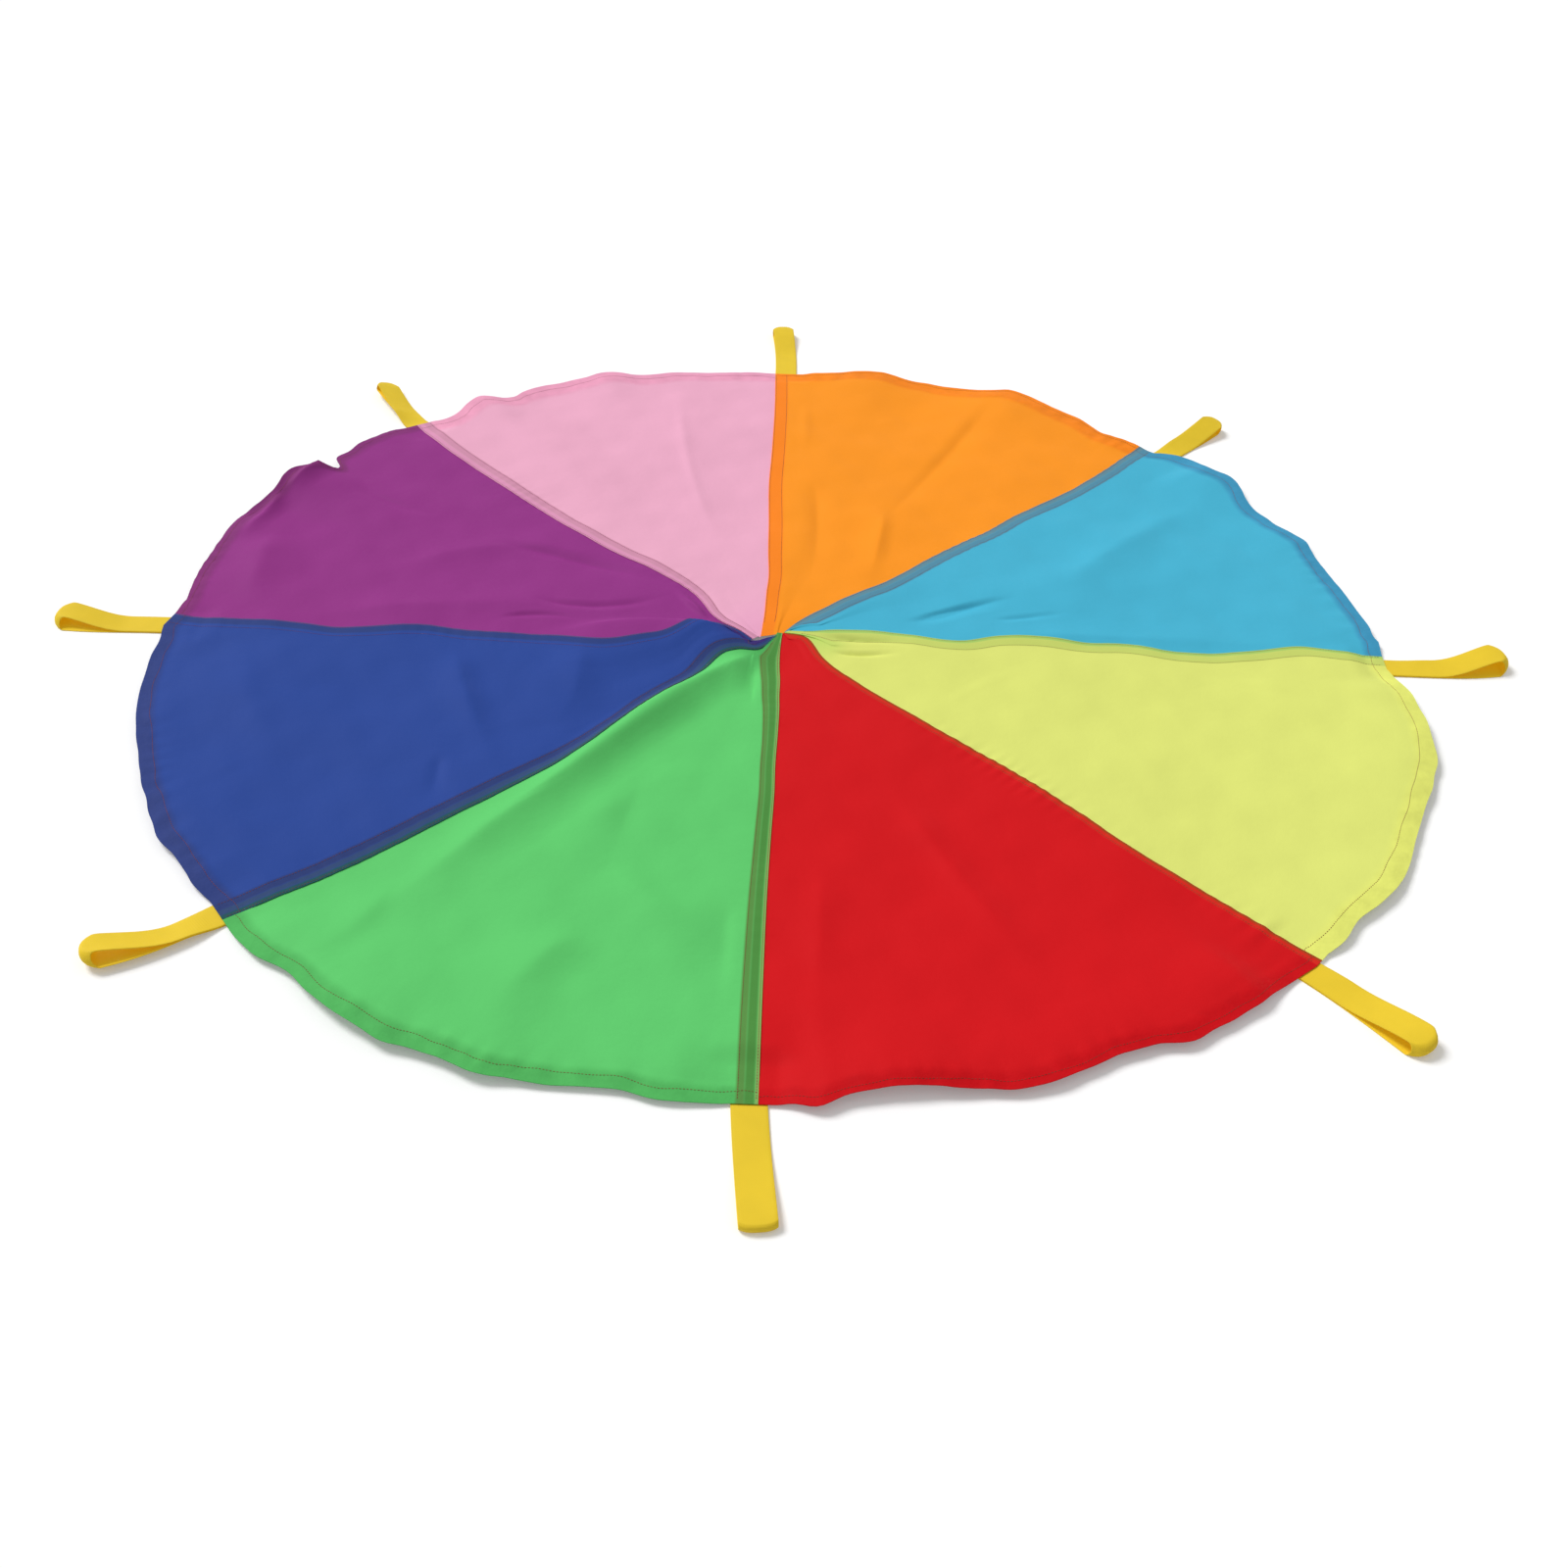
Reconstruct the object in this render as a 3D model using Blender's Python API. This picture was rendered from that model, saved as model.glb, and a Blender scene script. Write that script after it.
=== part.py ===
"""Play parachute of eight coloured gores with eight webbing hand loops.

Metres, +Z up. The canopy lies spread on the floor, its centre at the origin, +Y towards its back.
Seam 0 runs out along +X, and the seams and gores are numbered counter-clockwise from there.

Each gore is one cut piece of thin cloth. Its rim is turned under as a hem. At every seam one of the
two gores folds its edge under and lies over the other gore's flat allowance, as a lapped seam does.
Each hand loop is one strip of webbing: its two ends are sewn under the hem at a seam's end, and the
rest lies outside the rim as a flat loop with an open, rounded end.
"""
import math

import bpy
import numpy as np
from mathutils import Matrix

# Cloth and its sewing
CANOPY_RADIUS = 0.750
CLOTH = 0.0005
HEM_WIDTH = 0.022
SEAM_ALLOWANCE = 0.022
LAP_FADE = 0.015
TIP_RADIUS = 0.003

# Webbing of the hand loops
WEBBING_WIDTH = 0.033
WEBBING = 0.001
HANDLE_LENGTH = 0.135
TAIL_LENGTH = 0.030
TAIL_SLIT = 0.008
BIGHT_HEIGHT = 0.013

# Clearances
FIT_GAP = 0.0003
FLEX_REACH = 0.008
FOLD_CLEARANCE = 0.001

# Sizes worked out from the ones above
PLY_PITCH = CLOTH + FIT_GAP
TAIL_STACK = 2 * WEBBING + FIT_GAP
LAP_RAISE = 2 * PLY_PITCH
FLOOR_LEVEL = PLY_PITCH + CLOTH / 2
TAIL_LEVEL = TAIL_STACK + FIT_GAP + FLOOR_LEVEL
RISE_MARGIN = 2 * SEAM_ALLOWANCE
FOLD_HEIGHT = TAIL_LEVEL + CLOTH / 2 + FOLD_CLEARANCE
HEM_START_SHARE = 1 - HEM_WIDTH / CANOPY_RADIUS
LAP_END_SHARE = HEM_START_SHARE - LAP_FADE / CANOPY_RADIUS

# Gores counter-clockwise from seam 0: name, linear colour, half of the canopy that carries it
GORES = (
    ("panel_cyan", (0.065, 0.461, 0.658), "right"),
    ("panel_orange", (1.000, 0.310, 0.022), "right"),
    ("panel_pink", (0.851, 0.425, 0.584), "left"),
    ("panel_purple", (0.279, 0.037, 0.231), "left"),
    ("panel_blue", (0.030, 0.070, 0.310), "left"),
    ("panel_green", (0.125, 0.597, 0.159), "left"),
    ("panel_red", (0.651, 0.012, 0.016), "right"),
    ("panel_lime", (0.723, 0.783, 0.188), "right"),
)

# Seams counter-clockwise from +X: name of the handle there, half that carries it, and the side of
# the seam whose gore folds its edge over the other: -1 clockwise side, 1 counter-clockwise side
SEAMS = (
    ("right", "right", -1),
    ("back_right", "right", -1),
    ("back", "right", -1),
    ("back_left", "left", -1),
    ("left", "left", 1),
    ("front_left", "left", -1),
    ("front", "right", -1),
    ("front_right", "right", -1),
)
GORE_ANGLE = 2 * math.pi / len(GORES)
BACK_SEAM = 2

# Each seam's drift to its counter-clockwise side, in shares of the canopy's radius, at even steps
# from the centre to the rim
SEAM_WANDER_SHARES = (
    (0, 0.019, 0.002, 0.018, 0.006, -0.010, 0.016, 0.005),
    (0, 0.005, -0.002, 0.000, -0.002, -0.004, 0.000, 0.012),
    (0, 0.024, 0.025, 0.029, 0.029, 0.028, 0.027, 0.029),
    (0, 0.036, 0.021, 0.040, 0.041, 0.039, 0.035, 0.017),
    (0, 0.005, 0.029, 0.024, 0.018, 0.024, 0.013, -0.006),
    (0, 0.002, 0.007, 0.024, 0.028, 0.028, 0.023, 0.008),
    (0, 0.000, -0.001, -0.002, -0.004, -0.006, -0.007, -0.007),
    (0, -0.002, -0.005, 0.001, 0.004, -0.006, -0.005, 0.000),
)

# How far each seam reaches past the nominal radius, in shares of it
SEAM_REACH_SHARES = (0.003, 0.000, 0.008, 0.006, -0.014, 0.005, -0.008, 0.009)

# Where the eight tips meet, and how far out that shift fades, in shares of the radius
TIP_SHIFT_SHARES = (-0.015, -0.003)
TIP_FADE_SHARE = 0.10

# Waves of the rim: place and half width in degrees, then in shares of the radius how far the wave
# pushes the rim out, how far it lifts it off the floor, and how far in it runs
RIM_WAVE_SHARES = (
    (8, 5, -0.010, 0.000, 0.20), (21, 4, 0.012, 0.006, 0.25), (37.5, 5.5, 0.022, 0.034, 0.30),
    (52, 4, 0.007, 0.004, 0.20), (63.5, 5, 0.026, 0.032, 0.35), (80, 4.5, 0.016, 0.018, 0.25),
    (97, 5, -0.022, 0.000, 0.20), (112.5, 3.5, 0.008, 0.014, 0.30), (127.5, 2.5, 0.006, 0.016, 0.25),
    (140, 3, 0.005, 0.008, 0.20), (154, 4.5, 0.014, 0.036, 0.30), (164, 3, 0.006, 0.014, 0.20),
    (198, 7, 0.008, 0.005, 0.30), (212, 6, 0.006, 0.003, 0.20), (229.5, 3, 0.012, 0.004, 0.20),
    (240, 5.5, 0.030, 0.009, 0.25), (250.5, 3.5, 0.022, 0.008, 0.20), (261, 4, 0.022, 0.004, 0.20),
    (275, 2.5, 0.018, 0.000, 0.20), (279.5, 4.5, -0.006, 0.016, 0.30), (289.5, 4, 0.006, 0.000, 0.20),
    (303, 7, 0.012, 0.006, 0.30), (328, 8, 0.020, 0.004, 0.30), (344.5, 7, 0.026, 0.008, 0.25),
)
RIM_POWER = 4
WAVE_CLEAR_DEGREES = 3.6
WAVE_FULL_DEGREES = 6.0

# Soft folds inside the canopy: place as an angle in degrees and a share of the radius, the way the
# fold runs in degrees, then its half length, half width and height in shares of the radius
FOLD_SHARES = (
    (196, 0.13, 190, 0.090, 0.050, 0.018), (222, 0.10, 222, 0.060, 0.030, 0.008),
    (180, 0.60, 185, 0.050, 0.035, 0.009), (152, 0.45, 170, 0.200, 0.030, 0.006),
    (200, 0.55, 250, 0.150, 0.045, 0.005), (212, 0.75, 255, 0.120, 0.050, 0.005),
    (238, 0.42, 228, 0.200, 0.035, 0.007), (252, 0.62, 215, 0.120, 0.030, 0.006),
    (285, 0.50, 300, 0.220, 0.050, 0.005), (305, 0.70, 280, 0.150, 0.045, 0.004),
    (335, 0.55, 350, 0.180, 0.040, 0.005), (20, 0.50, 15, 0.220, 0.035, 0.007),
    (60, 0.60, 35, 0.140, 0.040, 0.005), (115, 0.60, 100, 0.160, 0.045, 0.005),
)

# Hand loops: shift of the handle to the seam's counter-clockwise side in shares of the webbing's
# width, its length in shares of the nominal one, and the lean of its free end in the same shares
HANDLE_SHIFT_SHARES = (-0.65, -0.85, -0.50, 0.10, 0.70, -0.30, -0.25, -0.60)
HANDLE_LENGTH_SHARES = (1.00, 1.04, 1.08, 0.97, 1.00, 0.96, 1.04, 1.00)
HANDLE_LEAN_SHARES = (0.10, 0.00, 0.00, -0.28, -0.03, -0.26, 0.09, 0.02)

# Grid of a gore: rows from tip to rim in shares of the radius, and steps between its seam bands
ROW_SHARES = (0.06, 0.14, 0.24, 0.36, 0.48, 0.60, 0.72, 0.82, 0.90)
INNER_STEPS = 11
BAND_SHARE = 0.30
BAND_COLUMN_SHARE = 0.5
RAISE_FADE_SHARE = 0.40
LOOP_FLAT_SHARE = 0.15
BIGHT_STEPS = 8
PLY_STEPS = 10
SHARP_DEGREES = 40

# Finish of the cloth and the webbing
WEBBING_COLOUR = (0.807, 0.591, 0.031)
ROUGHNESS = 0.75


def smooth(value):
    """Rise from 0 to 1 with level ends, as 3x^2 - 2x^3."""
    value = np.clip(value, 0, 1)
    return value * value * (3 - 2 * value)


def curve_through(shares, position):
    """Catmull-Rom curve through evenly spaced values, read at positions from 0 to 1."""
    points = np.array([2 * shares[0] - shares[1], *shares, 2 * shares[-1] - shares[-2]], float)
    place = np.clip(position, 0, 1) * (len(shares) - 1)
    step = np.minimum(place.astype(int), len(shares) - 2)
    t = place - step
    a, b, c, d = (points[step + i] for i in range(4))
    square = a - 2.5 * b + 2 * c - d / 2
    cube = 1.5 * (b - c) + (d - a) / 2
    return b + t * (c - a) / 2 + t ** 2 * square + t ** 3 * cube


def seam_angle(seam):
    return seam * GORE_ANGLE


def outward(angle):
    return np.stack([np.cos(angle), np.sin(angle)], -1)


def sideways(angle):
    return np.stack([-np.sin(angle), np.cos(angle)], -1)


def angle_gap(angle, degrees):
    """Signed angle in degrees from a wave's place to the given angles."""
    return (np.degrees(angle) - degrees + 180) % 360 - 180


def handle_drift(seam):
    """Distance of a handle's middle from its seam's nominal line, counter-clockwise."""
    return HANDLE_SHIFT_SHARES[seam] * WEBBING_WIDTH + SEAM_WANDER_SHARES[seam][-1] * CANOPY_RADIUS


def off_the_handles(angle):
    """0 beside a handle, which holds the rim flat, and 1 farther on."""
    free = 1
    for seam in range(len(SEAMS)):
        middle = math.degrees(seam_angle(seam) + handle_drift(seam) / CANOPY_RADIUS)
        away = np.abs(angle_gap(angle, middle))
        free = free * smooth((away - WAVE_CLEAR_DEGREES) / (WAVE_FULL_DEGREES - WAVE_CLEAR_DEGREES))
    return free


def rim_reach(angle):
    """Share by which the rim lies outside the nominal circle."""
    place = angle / GORE_ANGLE % len(SEAMS)
    seam = np.floor(place).astype(int) % len(SEAMS)
    ends = np.array(SEAM_REACH_SHARES)
    level = ends[seam] + (ends[(seam + 1) % len(SEAMS)] - ends[seam]) * smooth(place - np.floor(place))
    waves = 0
    for at, half, push, _, _ in RIM_WAVE_SHARES:
        waves = waves + push * np.exp(-(angle_gap(angle, at) / half) ** 2)
    return level + waves * off_the_handles(angle)


def handle_centre(seam):
    """Plan point on the rim where the middle of a handle crosses it."""
    angle = seam_angle(seam)
    reach = CANOPY_RADIUS * (1 + SEAM_REACH_SHARES[seam])
    return outward(angle) * reach + sideways(angle) * handle_drift(seam)


def cloth_level(plan):
    """Height of the lower cloth layer's middle over the floor, as a function of the plan alone.

    The floor level, plus the rim's waves, which die away inward, plus the soft folds, each a ridge
    with rounded ends, and a rise over the sewn ends of every handle.
    """
    angle = np.arctan2(plan[..., 1], plan[..., 0])
    share = np.hypot(plan[..., 0], plan[..., 1]) / CANOPY_RADIUS
    inset = np.clip(1 - share, 0, 1)
    waves = 0
    for at, half, _, height, run in RIM_WAVE_SHARES:
        waves = waves + height * np.exp(-(angle_gap(angle, at) / half) ** 2 - (inset / run) ** 2)
    folds = 0
    for at, reach, heading, length, width, height in FOLD_SHARES:
        away = plan / CANOPY_RADIUS - reach * outward(math.radians(at))
        along = away @ outward(math.radians(heading))
        across = away @ sideways(math.radians(heading))
        folds = folds + height * np.exp(-(along / length) ** 2 - (across / width) ** 2)
    flat = 1
    rise = 0
    for seam in range(len(SEAMS)):
        away = plan - handle_centre(seam)
        out = -(away @ outward(seam_angle(seam))) - TAIL_LENGTH - LAP_FADE
        side = np.abs(away @ sideways(seam_angle(seam))) - WEBBING_WIDTH / 2 - RISE_MARGIN
        near = 1 - smooth(np.hypot(np.maximum(out, 0), np.maximum(side, 0)) / WEBBING_WIDTH)
        rise = np.maximum(rise, near)
        flat = flat * (1 - near)
    lift = waves * off_the_handles(angle) * CANOPY_RADIUS + folds * CANOPY_RADIUS
    return FLOOR_LEVEL + lift * flat + rise * (TAIL_LEVEL - FLOOR_LEVEL)


def tip_shift(share):
    fade = np.clip(1 - share / TIP_FADE_SHARE, 0, 1)[..., None] ** 2
    return fade * np.array(TIP_SHIFT_SHARES) * CANOPY_RADIUS


def rim_radius(share, angle):
    """Distance from the centre at a share of the way to the rim, with the rim's waves."""
    return share * CANOPY_RADIUS * (1 + rim_reach(angle) * share ** RIM_POWER)


def seam_line(seam, share):
    """Plan of a seam: a radius that drifts sideways by its own shares."""
    angle = np.full_like(share, seam_angle(seam))
    drift = curve_through(SEAM_WANDER_SHARES[seam], share) * CANOPY_RADIUS
    along = outward(angle) * rim_radius(share, angle)[:, None]
    return tip_shift(share) + along + sideways(angle) * drift[:, None]


def band_width(share):
    """Width of the allowance under a seam, narrowed where the gores run to their tips."""
    return np.minimum(SEAM_ALLOWANCE, BAND_SHARE * share * CANOPY_RADIUS * GORE_ANGLE)


def beside_seam(seam, share, distance):
    return seam_line(seam, share) + distance[:, None] * sideways(seam_angle(seam))


def gore_plan(gore, share, edges):
    """Plan grid of a gore, rows from tip to rim and columns from its first seam to its second.

    The outer three columns at each side keep to the seam and its allowance. The columns between
    them share out the angle evenly, at the rim's own radius. edges holds the distance of the
    first and the last column from their seams.
    """
    first, second = gore, (gore + 1) % len(SEAMS)
    width = band_width(share)
    half = BAND_COLUMN_SHARE * width
    low = [beside_seam(first, share, d) for d in (np.full_like(share, edges[0]), half, width)]
    high = [beside_seam(second, share, -d) for d in (width, half, np.full_like(share, edges[1]))]
    centre = tip_shift(share)
    start = low[-1] - centre
    end = high[0] - centre
    start_angle = np.arctan2(start[:, 1], start[:, 0])
    turn = (np.arctan2(end[:, 1], end[:, 0]) - start_angle) % (2 * math.pi)
    inner = []
    for step in range(1, INNER_STEPS):
        part = step / INNER_STEPS
        angle = start_angle + part * turn
        extra = (1 - part) * (np.hypot(*start.T) - rim_radius(share, start_angle))
        extra = extra + part * (np.hypot(*end.T) - rim_radius(share, start_angle + turn))
        radius = rim_radius(share, angle) + extra
        inner.append(centre + outward(angle) * radius[:, None])
    return np.stack([*low, *inner, *high], 1)


def lap_raise(gore, share):
    """Height that a gore gains where it lies over a neighbour's allowance, by row and column."""
    columns = INNER_STEPS + 5
    across = np.concatenate([[0, 0, 0], np.arange(1, INNER_STEPS) / INNER_STEPS, [1, 1, 1]])
    over_first = SEAMS[gore][2] > 0
    over_second = SEAMS[(gore + 1) % len(SEAMS)][2] < 0
    profile = np.zeros(columns)
    if over_first:
        profile = np.maximum(profile, 1 - smooth(across / RAISE_FADE_SHARE))
    if over_second:
        profile = np.maximum(profile, 1 - smooth((1 - across) / RAISE_FADE_SHARE))
    ending = 1 - smooth((share - LAP_END_SHARE) / (HEM_START_SHARE - LAP_END_SHARE))
    return LAP_RAISE * ending[:, None] * profile[None, :]


class Sheet:
    """Middle surface of a cut piece, gathered patch by patch and then thickened."""

    def __init__(self):
        self.points = []
        self.offsets = []
        self.quads = []

    def add(self, points, offsets):
        """Add a grid of points with their half-thickness vectors, and return its indices."""
        first = sum(len(block) for block in self.points)
        self.points.append(points.reshape(-1, 3))
        self.offsets.append(offsets.reshape(-1, 3))
        return first + np.arange(points.shape[0] * points.shape[1]).reshape(points.shape[:2])

    def join(self, rows, turned_under=False):
        """Face the quads of an index grid whose columns run counter-clockwise in plan."""
        a, b, c, d = rows[:-1, :-1], rows[1:, :-1], rows[1:, 1:], rows[:-1, 1:]
        quads = np.stack([a, b, c, d], -1).reshape(-1, 4)
        self.quads.append(quads[:, ::-1][:, [3, 0, 1, 2]] if turned_under else quads)

    def solid(self, name):
        """Closed mesh: the sheet's two faces and a wall along every open edge."""
        points = np.concatenate(self.points)
        offsets = np.concatenate(self.offsets)
        quads = np.concatenate(self.quads)
        count = len(points)
        outer = np.concatenate([quads[:, [0, 1, 2]], quads[:, [0, 2, 3]]])
        inner = outer[:, ::-1] + count
        edges = np.concatenate([quads[:, [i, (i + 1) % 4]] for i in range(4)])
        keys = {tuple(edge) for edge in edges.tolist()}
        open_edges = np.array([edge for edge in keys if edge[::-1] not in keys])
        open_edges = open_edges[np.lexsort(open_edges.T)]
        a, b = open_edges.T
        near = np.stack([b, a, a + count], 1)
        far = np.stack([b, a + count, b + count], 1)
        faces = np.concatenate([outer, inner, near, far])
        return mesh_from(name, np.concatenate([points + offsets, points - offsets]), faces)


def mesh_from(name, points, faces):
    mesh = bpy.data.meshes.new(name)
    mesh.from_pydata([tuple(point) for point in points], [], [tuple(face) for face in faces])
    mesh.validate()
    mesh.shade_smooth()
    mesh.set_sharp_from_angle(angle=math.radians(SHARP_DEGREES))
    return mesh


def with_height(plan, height):
    return np.concatenate([plan, height[..., None]], -1)


def gore_mesh(gore, name):
    """One gore: the face of the cloth, its turned-under hem and its seam allowances."""
    rim = 1 - CLOTH / 2 / CANOPY_RADIUS
    tip = TIP_RADIUS / CANOPY_RADIUS
    share = np.array([tip, *ROW_SHARES, LAP_END_SHARE, HEM_START_SHARE, rim])
    folded = (SEAMS[gore][2] > 0, SEAMS[(gore + 1) % len(SEAMS)][2] < 0)
    edges = [FIT_GAP / 2 + (CLOTH / 2 if fold else 0) for fold in folded]
    plan = gore_plan(gore, share, edges)
    level = cloth_level(plan) + lap_raise(gore, share)
    up = np.zeros((*level.shape, 3))
    up[..., 2] = CLOTH / 2
    out = np.concatenate([plan[-1], np.zeros((plan.shape[1], 1))], -1)
    out = out / np.linalg.norm(out, axis=-1, keepdims=True) * CLOTH / 2
    up[-1] += out

    first_lap = 1
    last_lap = len(share) - 3
    laps = slice(first_lap, last_lap + 1)
    for side, seam in ((0, gore), (-1, (gore + 1) % len(SEAMS))):
        if folded[side]:
            toward = -1 if side == 0 else 1
            up[laps, side, :2] += toward * sideways(seam_angle(seam)) * CLOTH / 2

    sheet = Sheet()
    face = sheet.add(with_height(plan, level), up)
    sheet.join(face)

    down = up[-1:] * [1, 1, -1]
    under = np.zeros_like(up[-2:-1])
    under[..., 2] = -CLOTH / 2
    turned = sheet.add(with_height(plan[-2:], level[-2:] - PLY_PITCH), np.concatenate([under, down]))
    sheet.join(np.stack([face[-1], turned[1]])[::-1], turned_under=True)
    sheet.join(turned, turned_under=True)

    for side, seam in ((0, gore), (-1, (gore + 1) % len(SEAMS))):
        band = slice(0, 3) if side == 0 else slice(-3, None)
        if folded[side]:
            offsets = np.zeros((len(share), 3, 3))
            offsets[..., 2] = -CLOTH / 2
            offsets[:, side, :2] = up[:, side, :2]
            flap = sheet.add(with_height(plan[:, band], level[:, band] - PLY_PITCH)[laps], offsets[laps])
            fold = np.stack([face[laps, side], flap[:, side]], 1)
            sheet.join(fold if side == 0 else fold[:, ::-1], turned_under=True)
            sheet.join(flap, turned_under=True)
        elif seam != BACK_SEAM:
            width = band_width(share[laps])
            beyond = 1 if side == -1 else -1
            reach = [beyond * part * width for part in (BAND_COLUMN_SHARE, 1)]
            strips = [beside_seam(seam, share[laps], distance) for distance in reach]
            strip = np.stack(strips if side == -1 else strips[::-1], 1)
            offsets = np.zeros((*strip.shape[:2], 3))
            offsets[..., 2] = CLOTH / 2
            flap = sheet.add(with_height(strip, cloth_level(strip)), offsets)
            edge = face[laps, side][:, None]
            sheet.join(np.concatenate([edge, flap] if side == -1 else [flap, edge], 1))
    return sheet.solid(name)


def strip_mesh(name, middle, normal, side):
    """A strip of webbing: a flat rectangle carried along a path, with its normals and sides."""
    corners = ((0.5, 0.5), (0.5, -0.5), (-0.5, -0.5), (-0.5, 0.5))
    ring = [middle + s * side * WEBBING_WIDTH + n * normal * WEBBING for n, s in corners]
    points = np.stack(ring, 1).reshape(-1, 3)
    faces = [(0, 3, 2, 1), tuple(len(points) - 4 + i for i in range(4))]
    for station in range(0, len(points) - 4, 4):
        for i in range(4):
            j = (i + 1) % 4
            faces.append((station + i, station + j, station + j + 4, station + i + 4))
    return mesh_from(name, points, faces)


def handle_frame(seam):
    """Outward and sideways directions of a handle, and its middle on the rim, all in 3-D."""
    angle = seam_angle(seam)
    return (*(np.append(v, 0) for v in (outward(angle), sideways(angle), handle_centre(seam))),)


def sewn_ends_mesh(seam, name):
    """The strip's two ends under the hem: sewn fast to each other, and apart by a slit at the rim."""
    out, side, rim = handle_frame(seam)
    lower = WEBBING
    upper = WEBBING + FIT_GAP
    outline = (
        (-TAIL_LENGTH, 0), (0, 0), (0, lower), (-TAIL_SLIT, lower),
        (-TAIL_SLIT, upper), (0, upper), (0, TAIL_STACK), (-TAIL_LENGTH, TAIL_STACK),
    )
    up = np.array([0, 0, 1])
    points = [
        rim + out * u + up * z + side * WEBBING_WIDTH * s
        for s in (-0.5, 0.5) for u, z in outline
    ]
    count = len(outline)
    faces = [tuple(range(count)), tuple(range(2 * count - 1, count - 1, -1))]
    for i in range(count):
        j = (i + 1) % count
        faces.append((j, i, i + count, j + count))
    return mesh_from(name, points, faces)


def loop_mesh(seam, name):
    """The free loop: a lower ply on the floor, a round bight, and an upper ply back to the rim.

    The root stands off the rim just as far as lets its corners turn about the flex axis, which
    lies on top of the two plies, FLEX_REACH outside the rim.
    """
    out, side, rim = handle_frame(seam)
    root = FLEX_REACH - math.sqrt((FLEX_REACH - FIT_GAP) ** 2 - TAIL_STACK ** 2)
    low = WEBBING / 2
    high = low + WEBBING + FIT_GAP
    radius = (BIGHT_HEIGHT - WEBBING) / 2
    length = HANDLE_LENGTH * HANDLE_LENGTH_SHARES[seam]
    bight = length - radius - WEBBING / 2
    part = np.linspace(0, 1, PLY_STEPS, endpoint=False)
    run = root + (bight - root) * part
    climb = smooth((part - LOOP_FLAT_SHARE) / (1 - LOOP_FLAT_SHARE))
    turn = np.linspace(-math.pi / 2, math.pi / 2, BIGHT_STEPS + 1)
    reach = np.concatenate([run, bight + radius * np.cos(turn), run[::-1]])
    top = low + 2 * radius
    lower = np.full_like(run, low)
    rounded = low + radius + radius * np.sin(turn)
    upper = high + (top - high) * climb
    height = np.concatenate([lower, rounded, upper[::-1]])
    slope = np.stack([np.gradient(reach), np.gradient(height)], -1)
    slope = slope / np.linalg.norm(slope, axis=-1, keepdims=True)
    lean = HANDLE_LEAN_SHARES[seam]
    drift = lean * reach ** 2 / length
    swing = 2 * lean * reach / length
    forward = (out + swing[:, None] * side) / np.hypot(1, swing)[:, None]
    across = (side - swing[:, None] * out) / np.hypot(1, swing)[:, None]
    up = np.array([0, 0, 1])
    middle = rim + reach[:, None] * out + drift[:, None] * side + height[:, None] * up
    normal = slope[:, :1] * up - slope[:, 1:] * forward
    return strip_mesh(name, middle, normal, across)


def cloth_material(name, colour):
    material = bpy.data.materials.new(name)
    material.use_nodes = True
    shader = material.node_tree.nodes["Principled BSDF"]
    shader.inputs["Base Color"].default_value = (*colour, 1)
    shader.inputs["Roughness"].default_value = ROUGHNESS
    shader.inputs["Metallic"].default_value = 0
    material.diffuse_color = (*colour, 1)
    return material


def place(mesh, material, origin, parent=None):
    """Put a mesh made in world places on an object whose own origin is the given point."""
    mesh.transform(Matrix.Translation([-value for value in origin]))
    mesh.materials.append(material)
    body = bpy.data.objects.new(mesh.name, mesh)
    body.location = origin if parent is None else np.array(origin) - np.array(parent.location)
    body.parent = parent
    bpy.context.scene.collection.objects.link(body)
    return body


def empty(name, location):
    axis = bpy.data.objects.new(name, None)
    axis.location = location
    bpy.context.scene.collection.objects.link(axis)
    return axis


for old in list(bpy.data.objects):
    bpy.data.objects.remove(old, do_unlink=True)

fold_axis = empty("canopy_fold_axis", (0, 0, FOLD_HEIGHT))
carrier = {"right": None, "left": fold_axis}
webbing = cloth_material("webbing_yellow", WEBBING_COLOUR)

for index, (gore_name, gore_colour, half) in enumerate(GORES):
    pivot = (0, 0, 0) if half == "right" else tuple(fold_axis.location)
    place(gore_mesh(index, gore_name), cloth_material(gore_name, gore_colour), pivot, carrier[half])

for index, (handle_name, half, _) in enumerate(SEAMS):
    pivot = (0, 0, 0) if half == "right" else tuple(fold_axis.location)
    ends = sewn_ends_mesh(index, f"handle_{handle_name}_sewn_ends")
    place(ends, webbing, pivot, carrier[half])
    direction, _, rim_point = handle_frame(index)
    flex = rim_point + direction * FLEX_REACH + np.array([0, 0, TAIL_STACK])
    place(loop_mesh(index, f"handle_{handle_name}_loop"), webbing, tuple(flex), carrier[half])
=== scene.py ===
"""Play parachute laid out on a floor: eight gores of thin taffeta with eight webbing hand loops.

Metres, +Z up. The canopy's centre is the origin and +Y points to its back. Seam 0 runs out along
+X, and the seams and gores are numbered counter-clockwise from there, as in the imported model.
"""
import math

import bpy
import numpy as np
from mathutils import Matrix, Vector


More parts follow.
